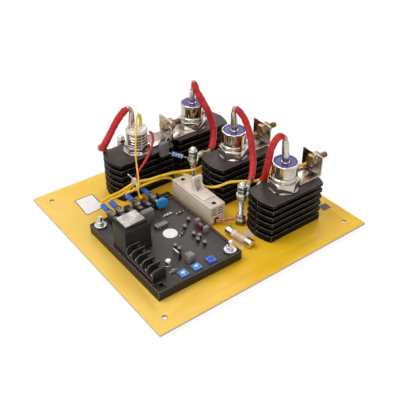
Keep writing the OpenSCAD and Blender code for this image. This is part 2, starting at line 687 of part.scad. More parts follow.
// Sleeved leads with their bare ends, and the lugs that take them
module red_lead(foot, sleeve, end) {
    color("#c02328") lead_tube(sleeve, lead_d, 10);
    color("#b79a86") lead_tube(neck(foot, sleeve), neck_d);
    color("#b79a86") lead_tube(end, braid_d);
}
module red_lead_a() { red_lead(scr_foot, lead_a, tail_a); }
module red_lead_b() { red_lead(tube_foot(1), lead_b, tail_b); }
module red_lead_c() { red_lead(tube_foot(2), lead_c, tail_c); }
module red_lead_d() { red_lead(tube_foot(3), lead_d_pts, tail_d); }
module lug(l) {
    z0 = lug_z + l[1] * lug_t;
    translate([posts[l[0]][0], posts[l[0]][1], 0]) rotate(l[2]) {
        difference() {
            union() {
                rod(lug_palm_d, z0, z0 + lug_t);
                translate([0, -lug_barrel_d / 2, z0]) cube([lug_reach, lug_barrel_d, lug_t]);
            }
            rod(post_d + 2 * seat_gap, z0 - 1, z0 + lug_t + 1);
        }
        translate([lug_reach - eps, 0, z0 + lug_t / 2]) along_x() cylinder(d = lug_barrel_d,
            h = lug_barrel_l);
    }
}
tongue_w = 4;
module small_ring(i) {
    at_upright(i) {
        washer(term_af, term_d + 2 * seat_gap, -ring_t, ring_t);
    }
    translate([sinks[i][0] + sink_l / 2 - ring_t, bolt_y[i], bolt_z]) rotate([tongue_at[i], 0, 0])
        translate([0, term_af / 2 - 1, -tongue_w / 2]) cube([ring_t, tongue_l - term_af / 2 + 1, tongue_w]);
}
module lead_lugs() {
    color("#c9c3ba") {
        for (l = lugs) lug(l);
        for (i = [0, 2, 3]) small_ring(i);
    }
}

// Posts
module post_studs() {
    color("#c4c0ba") for (p = posts) translate(p) {
        hex(bolt_af, -board_t - bolt_head_h, -board_t);
        rod(post_d, -board_t - eps, cap_z + cap_h / 2);
    }
}
module post_spacers() {
    color("#b9a95a") for (p = posts) translate(p) nut(post_af + 1, post_d, 0, spacer_h);
}
module hex_nuts() {
    color("#cfccc6") {
        for (p = posts) translate(p) {
            nut(post_af, post_d, spacer_h + 2 * washer_t, post_nut_h);
            rotate(15) nut(post_af, post_d, post_seat_z, post_nut_h);
            nut(post_af, post_d, top_nut_z, post_nut_h);
        }
        for (p = module_bolts_at) translate(p) nut(module_nut_af, module_bolt_d, tray_h + washer_t,
            module_nut_h);
    }
}
module plain_washers() {
    color("#dcdad5") {
        for (p = posts) translate(p) {
            for (k = [0, 1]) washer(washer_d - k / 2, post_d + 2 * seat_gap, spacer_h + k * washer_t,
                washer_t);
            washer(washer_d - 1, post_d + 2 * seat_gap, top_nut_z - washer_t, washer_t);
        }
        for (p = [posts[1], posts[2]]) translate(p)
            washer(washer_d - 1, post_d + 2 * seat_gap, lug_z + lug_t, lug_t);
        for (p = module_bolts_at) translate(p)
            washer(module_washer_d, module_bolt_d + 2 * seat_gap, tray_h, washer_t);
    }
}
module post_caps() {
    dome_r = post_af / 2 - 0.6;
    skirt = cap_h - dome_r;
    color("#d6d4cf") for (p = posts) translate([p[0], p[1], cap_z]) difference() {
        union() {
            hex(post_af, 0, skirt);
            translate([0, 0, skirt]) sphere(r = dome_r);
        }
        rod(post_d + 2 * thread_gap, -1, cap_h / 2 + 0.3);
        translate([0, 0, -dome_r]) cube([2 * post_af, 2 * post_af, 2 * dome_r], center = true);
    }
}

// Control module: tray with corner bosses, resin, and what stands on it
module tray_bosses(grow = 0) {
    side = boss_out + grow;
    for (x = [-1, 1], y = [-1, 1])
        translate([tray_x + x * (tray_w - side) / 2, tray_y + y * (tray_d - side) / 2])
            square(side, center = true);
}
module avr_tray() {
    color("#242121") difference() {
        translate([tray_lo[0], tray_lo[1], 0]) cube([tray_w, tray_d, tray_h]);
        translate([0, 0, tray_floor]) linear_extrude(tray_h) difference() {
            translate([tray_lo[0] + tray_wall, tray_lo[1] + tray_wall])
                square([tray_w - 2 * tray_wall, tray_d - 2 * tray_wall]);
            tray_bosses();
        }
        translate([tray_x, tray_y, 0]) each_corner(hole_x, hole_y) rod(tray_hole_d, -1, tray_h + 1);
    }
}
module avr_resin() {
    color("#3a3536") translate([0, 0, tray_floor]) linear_extrude(resin_z - tray_floor) difference() {
        translate([tray_lo[0] + tray_wall, tray_lo[1] + tray_wall])
            square([tray_w - 2 * tray_wall, tray_d - 2 * tray_wall]);
        tray_bosses();
    }
}
module block(at, size, z0 = resin_z) {
    translate([at[0] - size[0] / 2, at[1] - size[1] / 2, z0]) cube(size);
}
module transformer() {
    lid = 1.4;
    skirt_h = 5;
    color("#1f1d1e") {
        block(trafo_at, [trafo_w, trafo_d, trafo_h - lid + eps]);
        block(trafo_at, [trafo_w - 2 * lid, trafo_d - 2 * lid, lid], resin_z + trafo_h - lid);
        block(trafo_at, [trafo_w + 2 * trafo_skirt, trafo_d + 2 * trafo_skirt, skirt_h]);
    }
}
module spade_strip() {
    strip_l = tab_count * tab_pitch + fence_t;
    x0 = tab_x0 - tab_pitch / 2 - fence_t / 2;
    color("#191818") {
        translate([x0, strip_y0, resin_z]) cube([strip_l, strip_y1 - strip_y0 - 6, strip_base_h]);
        for (k = [0:tab_count]) translate([x0 + k * tab_pitch, strip_y0, resin_z])
            cube([fence_t, strip_y1 - strip_y0, fence_h]);
    }
}
module spade_tabs() {
    foot_y = strip_y0 + 3;
    color("#cfc9bf") for (k = [0:tab_count - 1]) translate([tab_x0 + k * tab_pitch, 0, 0]) {
        translate([-tab_w / 2, foot_y, tab_z - tab_t / 2]) cube([tab_w, tab_y1 - foot_y, tab_t]);
        translate([0, foot_y + 3, 0]) rod(tab_w - 1.5, resin_z + strip_base_h, tab_z);
    }
}
module at_wired_tabs() {
    for (k = wired_tabs) translate([tab_x0 + k * tab_pitch, 0, tab_z]) children();
}
module spade_shells() {
    slot_gap = 0.15;
    color("#d5cdbf") at_wired_tabs() {
        difference() {
            translate([-shell_w / 2, shell_y0, -shell_t / 2]) cube([shell_w, shell_y1 - shell_y0, shell_t]);
            translate([-tab_w / 2 - slot_gap, shell_y0 - 1, -tab_t / 2 - slot_gap])
                cube([tab_w + 2 * slot_gap, tab_y1 - shell_y0 + 1.4, tab_t + 2 * slot_gap]);
        }
        translate([0, shell_y1 - eps, 0]) rotate([-90, 0, 0]) cylinder(d = barrel_d,
            h = barrel_y1 - shell_y1);
    }
}
module spade_sleeves() {
    color("#1f5fc4") at_wired_tabs() translate([0, sleeve_y0, 0]) rotate([-90, 0, 0]) difference() {
        cylinder(d = sleeve_d, h = sleeve_y1 - sleeve_y0);
        translate([0, 0, -1]) cylinder(d = barrel_d + 2 * seat_gap, h = barrel_y1 - sleeve_y0 + 1.2);
        cylinder(d = wire_d + 2 * seat_gap, h = sleeve_y1);
    }
}
module barrier_fence() {
    rotate([90, 0, 0]) linear_extrude(barrier_fence_t, center = true) intersection() {
        square([barrier_l, barrier_fence_h]);
        union() {
            square([barrier_l, barrier_fence_h - barrier_round]);
            translate([barrier_round, barrier_fence_h - barrier_round]) circle(r = barrier_round);
            translate([barrier_round, 0]) square([barrier_l, barrier_fence_h]);
        }
    }
}
module at_cells(count) {
    for (k = [0:count - 1]) translate([barrier_at[0], barrier_at[1] + k * cell_pitch, resin_z]) children();
}
module barrier_strip() {
    run = cell_count * cell_pitch;
    color("#191818") difference() {
        union() {
            translate([barrier_at[0], barrier_at[1] - barrier_fence_t / 2, resin_z])
                cube([barrier_l, run + barrier_fence_t, barrier_base_h]);
            at_cells(cell_count + 1) barrier_fence();
            translate([barrier_at[0] + barrier_l - barrier_back_t, barrier_at[1], resin_z])
                cube([barrier_back_t, run, barrier_fence_h - 5]);
        }
        at_cells(cell_count) translate([screw_x, cell_pitch / 2, 0])
            rod(pan_shank_d + 2 * thread_gap, 1, barrier_base_h + 1);
    }
}
module pan_screw(top, shank) {
    difference() {
        union() {
            rod(pan_d, top - pan_h, top);
            rod(pan_shank_d, top - pan_h - shank, top - pan_h + eps);
        }
        translate([-pan_d / 2 - 1, -0.5, top - 1]) cube([pan_d + 2, 1, 2]);
    }
}
module fuse_screws_at() {
    for (y = [-1, 1]) translate([fuse_x, fuse_y + y * fuse_screw_gap / 2, 0]) children();
}
module pan_screws() {
    fuse_head_z = 8.4;
    color("#b5b1aa") {
        at_cells(cell_count) translate([screw_x, cell_pitch / 2, 0]) pan_screw(barrier_base_h + pan_h, 3);
        fuse_screws_at() pan_screw(fuse_head_z, fuse_head_z - pan_h + board_t);
    }
}

// Trimmers: square bodies with a round well, and rotors that turn in it
module at_trimmers() {
    for (p = trims_at) translate([p[0], p[1], resin_z]) children();
}
module trimmer_bodies() {
    color("#2a6fd0") at_trimmers() difference() {
        translate([-trim_side / 2, -trim_side / 2, 0]) cube([trim_side, trim_side, trim_h]);
        rod(rotor_d + 2 * rotor_gap, trim_h - rotor_h, trim_h + 1);
    }
}
module trimmer_rotor(at, tint) {
    float = 0.05;
    color(tint) translate([at[0], at[1], resin_z]) difference() {
        rod(rotor_d, trim_h - rotor_h + float, trim_h + 0.1);
        translate([-rotor_d / 2 - 1, -slot_w / 2, trim_h + 0.1 - slot_h]) cube([rotor_d + 2, slot_w,
            2 * slot_h]);
        translate([-slot_w / 2, -rotor_d / 2 - 1, trim_h + 0.1 - slot_h]) cube([slot_w, rotor_d / 2 +
            1, 2 * slot_h]);
    }
}
module trimmer_rotor_a() { trimmer_rotor(trims_at[0], "#dfeefa"); }
module trimmer_rotor_b() { trimmer_rotor(trims_at[1], "#dfeefa"); }
module trimmer_rotor_c() { trimmer_rotor(trims_at[2], "#2457c8"); }

// Small parts on the resin
varistor_at = [spot(28.3, 0)[0], strip_y0 - 3.8];
module varistor() {
    disc_d = 14.6;
    disc_t = 4;
    leg_d = 1;
    leg_gap = 7.5;
    up = 2;
    color("#2f9ad6") translate([varistor_at[0], varistor_at[1], resin_z]) rotate(-12) {
        translate([0, 0, up + disc_d / 2]) rotate([90, 0, 0]) rotate_extrude() polygon([[0, -disc_t / 2],
            [disc_d / 2 - 1, -disc_t / 2], [disc_d / 2, 0.8 - disc_t / 2], [disc_d / 2, disc_t / 2 - 0.8],
            [disc_d / 2 - 1, disc_t / 2], [0, disc_t / 2]]);
        for (x = [-1, 1]) translate([x * leg_gap / 2, 0, 0]) rod(leg_d, 0, up + 2);
    }
}
module driver_chip() {
    body = [15.5, 6.6, 3.4];
    pin = [0.5, 8.2, 2.4];
    pins = 6;
    pin_pitch = 2.54;
    at = spot(9.3, 18.5);
    color("#4a4546") {
        block(at, body, resin_z + 0.5);
        for (k = [0:pins - 1]) block(at + [(k - (pins - 1) / 2) * pin_pitch, 0], pin);
    }
}
module relay() {
    size = [15, 6.6, 14];
    lid = 0.8;
    at = spot(3.5, 37.5);
    color("#6a6668") {
        block(at, size);
        block(at, [size[0] - 2 * lid, size[1] - 2 * lid, lid], resin_z + size[2] - eps);
    }
}
module module_capacitors() {
    can_at = spot(-21.9, -39.5);
    can_d = 6.2;
    film = [6.4, 5, 7];
    color("#c9ccd2") translate([can_at[0], can_at[1], 0]) {
        rod(can_d + 0.6, resin_z, resin_z + 1);
        rod(can_d, resin_z + 1 - eps, resin_z + 7.4);
    }
    color("#7b7678") block(spot(1, -46.5), [8.6, 8.6, 9]);
    color("#8b8588") block(spot(44.5, -2), film);
    color("#5a1a1c") block(spot(42.2, -10), [5, 8.4, 6.4]);
    color("#8b8588") block(spot(44, -18.4), film);
}
module small_transistor(at, turn) {
    r = 2.4;
    flat = 1.1;
    translate([at[0], at[1], resin_z]) rotate(turn) intersection() {
        rod(2 * r, 0, 5.2);
        translate([-r - 1, -flat, -1]) cube([2 * r + 2, r + flat + 1, 8]);
    }
}
module transistors() {
    color("#2a2727") {
        for (p = [spot(1, -21), spot(1.6, -28), spot(29, -16.8), spot(32.2, -23), spot(26.8, -27.4),
            spot(29.5, -36),
            spot(39.5, 7.4), spot(28.5, -0.6)])
            small_transistor(p, 60);
    }
    tab_size = [1.2, 9.5, 11];
    body_size = [3.6, 9.5, 8];
    tab_spot = spot(-8.6, -35);
    color("#d8d5cf") block(tab_spot, tab_size);
    color("#232021") block(tab_spot + [(tab_size[0] + body_size[0]) / 2 + 0.1, 0], body_size);
}
module axial_part(at, turn, l, d) {
    leg = 0.8;
    up = resin_z + d / 2 + 0.3;
    span = l + 5;
    translate([at[0], at[1], up]) rotate(turn) {
        along_x() cylinder(d = d, h = l, center = true);
        along_x() cylinder(d = leg, h = span, center = true);
        for (x = [-1, 1]) translate([x * (span - leg) / 2, 0, 0]) rod(leg, resin_z - up, 0);
    }
}
module axial_parts() {
    color("#dfe4ec") axial_part(spot(27, 31), 0, 10, 2.6);
    color("#3b3536") axial_part(spot(40.5, 26), 0, 6.5, 2.4);
    color("#8f8579") axial_part(spot(-23.6, -51.4), 0, 5.4, 4);
    color("#3b3536") axial_part(spot(19.5, -7), 25, 6.5, 2.4);
}

// Fuse holder: housing with a slot for the carrier, vents, screw wells and wire mouths
module at_fuse() {
    translate([fuse_x, fuse_y, 0]) children();
}
module end_cuts() {
    for (k = [0:vent_rows - 1], x = [-1, 1])
        translate([x * (vent_w / 2 + 1) - vent_w / 2, -fuse_l / 2 - 1, fuse_h - 5 - k * vent_pitch])
            cube([vent_w, 2.6, vent_h]);
    translate([mouth_off - wire_mouth[0] / 2, -fuse_l / 2 - 1, mouth_z])
        cube([wire_mouth[0], wire_mouth[1] + 1, wire_mouth[2]]);
}
module fuse_base() {
    seam = 0.7;
    seam_z = fuse_h - 3;
    foot_cut = 3;
    color("#c9bfae") difference() {
        at_fuse() difference() {
            translate([-fuse_w / 2, -fuse_l / 2, 0]) cube([fuse_w, fuse_l, fuse_h]);
            for (t = [0, half_turn]) rotate(t) {
                end_cuts();
                translate([-fuse_w / 2 - 1, -fuse_l / 2 - 1, seam_z]) cube([1 + seam, fuse_l + 2, seam]);
                translate([0, -fuse_l / 2, 0]) rotate([45, 0, 0]) cube([fuse_w + 2, foot_cut,
                    foot_cut], center = true);
            }
        }
        fuse_screws_at() {
            rod(pan_shank_d + 2 * seat_gap, -1, fuse_h + 1);
            rod(screw_head_d, 6, 14);
            rod(5, 13, fuse_h + 1);
        }
        translate([fuse_x - carrier_w / 2 - slide_gap, carrier_y - carrier_l / 2 - slide_gap, slot_lo])
            cube([carrier_w + 2 * slide_gap, carrier_l + 2 * slide_gap, fuse_h]);
    }
}
// Carrier: body over the link, rear cover, and a grip with a finger pocket between sloping cheeks
module fuse_carrier() {
    cover_drop = 1.2;
    cover_z = fuse_h - cover_drop;
    top_z = fuse_h + grip_h;
    back_y = grip_y - carrier_y + grip_d / 2;
    pocket_y = back_y - grip_back_t - pocket_l;
    cheek_y = back_y - grip_back_t - cheek_top_l;
    color("#d3cab9") translate([fuse_x, carrier_y, 0]) difference() {
        union() {
            translate([-carrier_w / 2, -carrier_l / 2, carrier_foot])
                cube([carrier_w, carrier_l, cover_z - carrier_foot]);
            translate([-carrier_w / 2, back_y - grip_d, cover_z - eps])
                cube([carrier_w, carrier_l / 2 - back_y + grip_d, cover_drop]);
            rotate([90, 0, 90]) linear_extrude(grip_w, center = true)
                polygon([[back_y, cover_z - 1], [back_y, top_z], [cheek_y, top_z],
                    [cheek_y, fuse_h + cheek_knee_h], [pocket_y, cover_z + 0.2], [pocket_y, cover_z - 1]]);
        }
        translate([cheek_t - grip_w / 2, pocket_y, fuse_h - pocket_drop])
            cube([grip_w - 2 * cheek_t, pocket_l, grip_h + pocket_drop + 1]);
        translate([-trough_w / 2, -link_l / 2 - seat_gap, carrier_foot - 1])
            cube([trough_w, link_l + 2 * seat_gap, link_z + link_d / 2 + seat_gap - carrier_foot + 1]);
    }
}
module fuse_link_at() {
    rotate([90, 0, 0]) children();
}
module link_solid() {
    cap = 9;
    ceramic_d = link_d - 0.8;
    fuse_link_at() {
        cylinder(d = ceramic_d, h = link_l - 2 * cap + 2 * eps, center = true);
        for (s = [0, half_turn]) rotate([s, 0, 0]) translate([0, 0, link_l / 2 - cap])
            cylinder(d = link_d, h = cap);
    }
}
module fuse_link() {
    color("#e3cfae") translate([fuse_x, carrier_y, link_z]) link_solid();
}
module fuse_clips() {
    jaw = link_d / 2 + 0.15;
    color("#c98d55") for (s = [-1, 1]) translate([fuse_x, carrier_y +
        s * (link_l / 2 - clip_l / 2 - 0.5), slot_lo])
        for (m = [-1, 1]) translate([m > 0 ? jaw : -jaw - clip_t, -clip_l / 2, 0]) cube([clip_t,
            clip_l, clip_up]);
}
module spare_fuse() {
    color("#e3cfae") translate([spare_at[0], spare_at[1], link_d / 2]) rotate(spare_turn) link_solid();
}

// Wires, tie and snubber
module control_wires() {
    color("#e8bf2a") {
        lead_tube(wire_c, wire_d);
        lead_tube(wire_dd, wire_d);
        lead_tube(wire_fuse, wire_d);
    }
}
module gate_wire() {
    color("#e8bf2a") {
        lead_tube(gate_sleeve_pts, gate_tube_d);
        lead_tube(gate_pts, gate_d);
    }
}
module red_wire() {
    color("#d0262c") lead_tube(red_pts, wire_d);
}
module copper_wires() {
    color("#a5633f") for (s = [-1, 1]) translate([0, 0, s * copper_gap / 2]) lead_tube(copper_pts,
        copper_gap - 0.2);
}
module cable_tie() {
    tail = [1.2, 3, 13];
    head = [4, 5, 3.6];
    color("#eeeae6") translate(tie_at) {
        along_x() difference() {
            cylinder(r = tie_r + tie_band[1], h = tie_band[0], center = true);
            cylinder(r = tie_r, h = tie_band[0] + 2, center = true);
        }
        translate([-head[0] / 2, -head[1] / 2, tie_r + tie_band[1] - 0.4]) cube(head);
        translate([0, 0, tie_r + tie_band[1] + 1.5]) rotate([0, -35, 0]) translate([-tail[0] / 2,
            -tail[1] / 2, 0]) cube(tail);
    }
}
module snubber() {
    resistor_l = 15;
    resistor_d = 5.4;
    r0 = [5.9, 60.4, 48.1];
    r1 = [posts[1][0] - 3, posts[1][1] + 6.6, lug_z + lug_t / 2];
    span = r1 - r0;
    run = norm(span);
    body_at = 3.3;
    color("#77736f") translate([snub_at[0] - snub_size[0] / 2, snub_at[1] - snub_size[1] / 2,
        snub_at[2]]) cube(snub_size);
    color("#5a86c9") translate(r0) rotate([0, acos(span[2] / run), atan2(span[1], span[0])]) {
        cylinder(d = snub_lead_d, h = run);
        translate([0, 0, body_at]) cylinder(d = resistor_d, h = resistor_l);
    }
    top = snub_at[2] + snub_size[2];
    tip = tongue_out(0, tongue_l + 0.8);
    color("#b9b3a8") lead_tube([[3, 62, top], [3, 62, top + 1.6], [5.6, 63.6, top + 2.4],
        [12, 67.4, top + 1.6],
        [18.6, 71.4, top + 1], tip + [-0.6, -1.6, -1], tip], snub_lead_d);
}

base_board();
board_bolts();
heatsink_a();
heatsink_b();
heatsink_c();
heatsink_d();
bracket_a();
bracket_b();
bracket_c();
bracket_d();
thyristor_case();
thyristor_ceramic();
thyristor_tubes();
diode_case_b();
diode_case_c();
diode_case_d();
diode_seals();
diode_tubes();
terminal_bolts();
terminal_nuts();
red_lead_a();
red_lead_b();
red_lead_c();
red_lead_d();
lead_lugs();
post_studs();
post_spacers();
hex_nuts();
plain_washers();
post_caps();
avr_tray();
avr_resin();
transformer();
spade_strip();
spade_tabs();
spade_shells();
spade_sleeves();
barrier_strip();
pan_screws();
trimmer_bodies();
trimmer_rotor_a();
trimmer_rotor_b();
trimmer_rotor_c();
varistor();
driver_chip();
relay();
module_capacitors();
transistors();
axial_parts();
fuse_base();
fuse_carrier();
fuse_clips();
fuse_link();
spare_fuse();
control_wires();
gate_wire();
red_wire();
copper_wires();
cable_tie();
snubber();
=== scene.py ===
import json
import math

import bmesh
import bpy
from mathutils import Matrix, Vector


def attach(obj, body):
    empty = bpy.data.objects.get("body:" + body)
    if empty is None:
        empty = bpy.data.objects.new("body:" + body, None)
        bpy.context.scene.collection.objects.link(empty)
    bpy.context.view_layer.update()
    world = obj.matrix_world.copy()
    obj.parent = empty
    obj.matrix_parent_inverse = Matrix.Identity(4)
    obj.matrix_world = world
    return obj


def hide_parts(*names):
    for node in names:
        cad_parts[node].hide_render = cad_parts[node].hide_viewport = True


# Looks of the voltage regulator: each piece is shaped in millimetres and settled in metres
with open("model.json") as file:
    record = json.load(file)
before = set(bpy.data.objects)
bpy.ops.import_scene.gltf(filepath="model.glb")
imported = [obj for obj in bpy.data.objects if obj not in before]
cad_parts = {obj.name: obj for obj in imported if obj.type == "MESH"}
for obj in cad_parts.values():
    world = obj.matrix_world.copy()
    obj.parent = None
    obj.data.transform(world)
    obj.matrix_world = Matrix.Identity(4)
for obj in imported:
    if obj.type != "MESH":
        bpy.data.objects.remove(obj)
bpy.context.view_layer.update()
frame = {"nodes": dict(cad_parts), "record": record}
record = frame["record"]
body_of = {node: body for body, members in record["behaviour"]["bodies"].items() for node in members}
MM = 0.001

# Camera, lamps and floor
CAMERA_AT, CAMERA_TILT, CAMERA_TURN, LENS = (-0.36424, -0.49280, 0.460), 54.04, -37.02, 58.24
LAMP_AIM = (0, 0, 0.03)
ROOM_LIGHT = 0.54
FLOOR_LEVEL, FLOOR_REACH = -0.007, 6.0
FLOOR_GLOW, GLOW_SHARE = 1.04, 0.84
WHITE = (1, 1, 1, 1)


def set_camera():
    camera = bpy.data.cameras.new("camera")
    camera.sensor_width = 36
    camera.lens = LENS
    stand = bpy.data.objects.new("camera", camera)
    stand.location = CAMERA_AT
    stand.rotation_euler = (math.radians(CAMERA_TILT), 0, math.radians(CAMERA_TURN))
    bpy.context.scene.collection.objects.link(stand)
    bpy.context.scene.camera = stand


def hang_lamp(name, at, width, power, colour):
    lamp = bpy.data.lights.new(name, "AREA")
    lamp.shape = "DISK"
    lamp.size = width
    lamp.energy = power
    lamp.color = colour
    holder = bpy.data.objects.new(name, lamp)
    holder.location = at
    holder.rotation_euler = (Vector(LAMP_AIM) - Vector(at)).to_track_quat("-Z", "Y").to_euler()
    bpy.context.scene.collection.objects.link(holder)


def add_node(tree, kind, sockets, **settings):
    """A shader node; each of its sockets takes a value or another node's output."""
    made = tree.nodes.new("ShaderNode" + kind)
    for key, value in settings.items():
        setattr(made, key, value)
    for socket, value in sockets.items():
        if isinstance(value, bpy.types.NodeSocket):
            tree.links.new(value, made.inputs[socket])
        else:
            made.inputs[socket].default_value = value
    return made


def seen_directly(tree):
    """1 where a ray from the lens, a mirror or a clear piece arrives, 0 for the light that falls on things."""
    path = add_node(tree, "LightPath", {}).outputs
    either = add_node(tree, "Math", {0: path["Is Camera Ray"], 1: path["Is Glossy Ray"]}, operation="MAXIMUM")
    any_of = add_node(tree, "Math", {0: either.outputs[0], 1: path["Is Transmission Ray"]}, operation="MAXIMUM")
    return any_of.outputs[0]


def light_the_room():
    world = bpy.data.worlds.new("studio_room")
    bpy.context.scene.world = world
    world.use_nodes = True
    tree = world.node_tree
    back = tree.nodes["Background"]
    back.inputs["Color"].default_value = WHITE
    level = add_node(tree, "MapRange", {"Value": seen_directly(tree), "To Min": ROOM_LIGHT, "To Max": 1.0})
    tree.links.new(level.outputs["Result"], back.inputs["Strength"])
    hang_lamp("key_lamp", (-0.55, 0.35, 1.25), 0.75, 7.5, (1.0, 0.98, 0.95))
    hang_lamp("front_lamp", (-0.75, -0.75, 0.75), 0.6, 3.0, (1.0, 0.99, 0.97))
    hang_lamp("rear_lamp", (0.75, 0.75, 0.95), 0.6, 2.4, (0.97, 0.98, 1.0))


def lay_floor():
    bm = bmesh.new()
    bmesh.ops.create_grid(bm, x_segments=2, y_segments=2, size=FLOOR_REACH)
    mesh = bpy.data.meshes.new("floor")
    moved(bm, (0, 0, FLOOR_LEVEL)).to_mesh(mesh)
    bm.free()
    floor = bpy.data.objects.new("floor", mesh)
    bpy.context.scene.collection.objects.link(floor)
    paper = bpy.data.materials.new("floor_paper")
    paper.use_nodes = True
    tree = paper.node_tree
    shader = tree.nodes["Principled BSDF"]
    for socket, value in (("Base Color", (0.94, 0.94, 0.94, 1)), ("Roughness", 0.9), ("Specular IOR Level", 0.1)):
        shader.inputs[socket].default_value = value
    glow = add_node(tree, "Emission", {"Color": WHITE, "Strength": FLOOR_GLOW})
    share = add_node(tree, "MapRange", {"Value": seen_directly(tree), "To Max": GLOW_SHARE})
    mix = add_node(tree, "MixShader", {"Fac": share.outputs["Result"], 1: shader.outputs["BSDF"],
                                       2: glow.outputs["Emission"]})
    tree.links.new(mix.outputs["Shader"], tree.nodes["Material Output"].inputs["Surface"])
    mesh.materials.append(paper)


# Finishes: colours are given as on a paint card, 0 to 255
def tint(red, green, blue):
    """A paint card's colour in the renderer's own units."""
    out = []
    for part in (red, green, blue):
        share = part / 255
        out.append(share / 12.92 if share <= 0.04045 else ((share + 0.055) / 1.055) ** 2.4)
    return (out[0], out[1], out[2], 1.0)


# Where the Mix node keeps its two colours and their result, and the millimetres between a wave's crests at scale 1
MIX_BELOW, MIX_ABOVE, MIX_RESULT = 6, 7, 2
WAVE_LENGTH = 314.16


class Finish:
    """One procedural material, built up layer by layer."""

    def __init__(self, name, colour, roughness, **sockets):
        self.material = bpy.data.materials.new(name)
        self.material.use_nodes = True
        self.tree = self.material.node_tree
        self.shader = self.tree.nodes["Principled BSDF"]
        self.shader.inputs["Base Color"].default_value = tint(*colour)
        self.shader.inputs["Roughness"].default_value = roughness
        for socket, value in sockets.items():
            self.shader.inputs[socket.replace("_", " ")].default_value = value
        self.height = None

    def add(self, kind, sockets, **settings):
        return add_node(self.tree, kind, sockets, **settings).outputs

    def where(self, scale=(1, 1, 1), turn=(0, 0, 0), along=False):
        """Places on the piece, stretched and turned; along follows a lead's own length."""
        place = self.add("TexCoord", {})["UV" if along else "Object"]
        angles = [math.radians(a) for a in turn]
        return self.add("Mapping", {"Vector": place, "Scale": scale, "Rotation": angles})["Vector"]

    def mottle(self, place, size, detail=4.0, rough=0.55, warp=0.0):
        """Soft random patches about size millimetres across."""
        return self.add("TexNoise", {"Vector": place, "Scale": 1000.0 / size, "Detail": detail, "Roughness": rough,
                                     "Distortion": warp})["Fac"]

    def stripes(self, place, size, direction, warp=0.0):
        """Parallel bands one size, in millimetres, from crest to crest."""
        return self.add("TexWave", {"Vector": place, "Scale": WAVE_LENGTH / size, "Distortion": warp, "Detail": 2.0},
                        bands_direction=direction)["Fac"]

    def both(self, first, second, how="MULTIPLY"):
        return self.add("Math", {0: first, 1: second}, operation=how)[0]

    def blend(self, *layers):
        """The sum of values, each times its share."""
        total, *others = [self.both(value, share) for value, share in layers]
        for part in others:
            total = self.both(total, part, "ADD")
        return total

    def spread(self, value, low, high, lowest=0.0, highest=1.0):
        return self.add("MapRange", {"Value": value, "From Min": low, "From Max": high, "To Min": lowest,
                                     "To Max": highest})["Result"]

    def tones(self, value, *stops):
        """Colours for a value from 0 to 1."""
        ramp = add_node(self.tree, "ValToRGB", {"Fac": value})
        band = ramp.color_ramp.elements
        while len(band) < len(stops):
            band.new(0.5)
        for mark, (at, colour) in zip(band, stops):
            mark.position = at
            mark.color = tint(*colour)
        return ramp.outputs["Color"]

    def over(self, value, below, above):
        """One colour over another, by a value from 0 to 1."""
        sockets = {"Factor": value}
        for socket, colour in ((MIX_BELOW, below), (MIX_ABOVE, above)):
            sockets[socket] = tint(*colour) if isinstance(colour, tuple) else colour
        return self.add("Mix", sockets, data_type="RGBA")[MIX_RESULT]

    def colour(self, value):
        self.tree.links.new(value, self.shader.inputs["Base Color"])

    def roughen(self, value, low, high):
        self.tree.links.new(self.spread(value, 0.25, 0.75, low, high), self.shader.inputs["Roughness"])

    def raised(self, value, strength, distance):
        """Bumps, distance in millimetres; later ones ride on the earlier."""
        sockets = {"Height": value, "Strength": strength, "Distance": distance * MM}
        if self.height is not None:
            sockets["Normal"] = self.height
        self.height = self.add("Bump", sockets)["Normal"]
        self.tree.links.new(self.height, self.shader.inputs["Normal"])


def laminate_finish():
    skin = Finish("laminate_face", (248, 198, 42), 0.38, Specular_IOR_Level=0.34)
    cloudy = skin.mottle(skin.where(), 55, 3)
    fibre = skin.mottle(skin.where((1, 14, 1)), 9, 3)
    both = skin.blend((cloudy, 0.65), (fibre, 0.35))
    strong = skin.tones(both, (0.30, (238, 182, 22)), (0.52, (249, 198, 40)), (0.72, (252, 210, 70)))
    # Painted sheen: the board grows paler towards its left side, at low X, standing in for the haze of reflected light
    # there.
    across = skin.add("SeparateXYZ", {"Vector": skin.where()})
    left_painted_sheen = skin.spread(across["X"], -0.130, -0.010, 0.75, 0.0)
    skin.colour(skin.over(left_painted_sheen, strong, (245, 205, 104)))
    skin.roughen(skin.mottle(skin.where(), 18, 5), 0.28, 0.46)
    skin.raised(skin.mottle(skin.where((1, 6, 1)), 1.6, 3), 0.10, 0.05)
    skin.raised(skin.mottle(skin.where((22, 1, 1), (0, 0, 31)), 14, 2), 0.05, 0.04)
    return skin.material


def sawn_finish():
    skin = Finish("laminate_sawn_edge", (196, 176, 160), 0.7)
    plies = skin.stripes(skin.where(), 0.42, "Z", 1.2)
    saw = skin.mottle(skin.where((6, 6, 0.6)), 1.4, 4)
    skin.colour(skin.tones(skin.blend((plies, 0.5), (saw, 0.5)),
                           (0.2, (168, 146, 124)), (0.55, (198, 182, 168)), (0.85, (222, 204, 178))))
    skin.raised(saw, 0.35, 0.12)
    return skin.material


def anodised_finish(name, dark, middle, light, gloss):
    skin = Finish(name, middle, 0.40, Specular_IOR_Level=gloss)
    drawn = skin.mottle(skin.where((0.5, 30, 30)), 30, 4)
    dust = skin.mottle(skin.where(), 6, 6, 0.7)
    skin.colour(skin.tones(skin.blend((drawn, 0.6), (dust, 0.4)),
                           (0.30, dark), (0.55, middle), (0.80, light)))
    skin.roughen(dust, 0.34, 0.54)
    skin.raised(drawn, 0.10, 0.05)
    return skin.material


# Painted highlight: the heatsinks' rounded edges in a lighter metallic grey, for the thin lines of light along them.
def fin_edge_highlight_finish():
    skin = Finish("painted_highlight_fin_edges", (84, 77, 72), 0.34, Metallic=0.5)
    edge_glint = skin.mottle(skin.where((0.6, 3, 3)), 5, 5, 0.7)
    skin.colour(skin.tones(edge_glint, (0.28, (24, 21, 19)), (0.50, (84, 77, 72)), (0.75, (160, 152, 146))))
    return skin.material


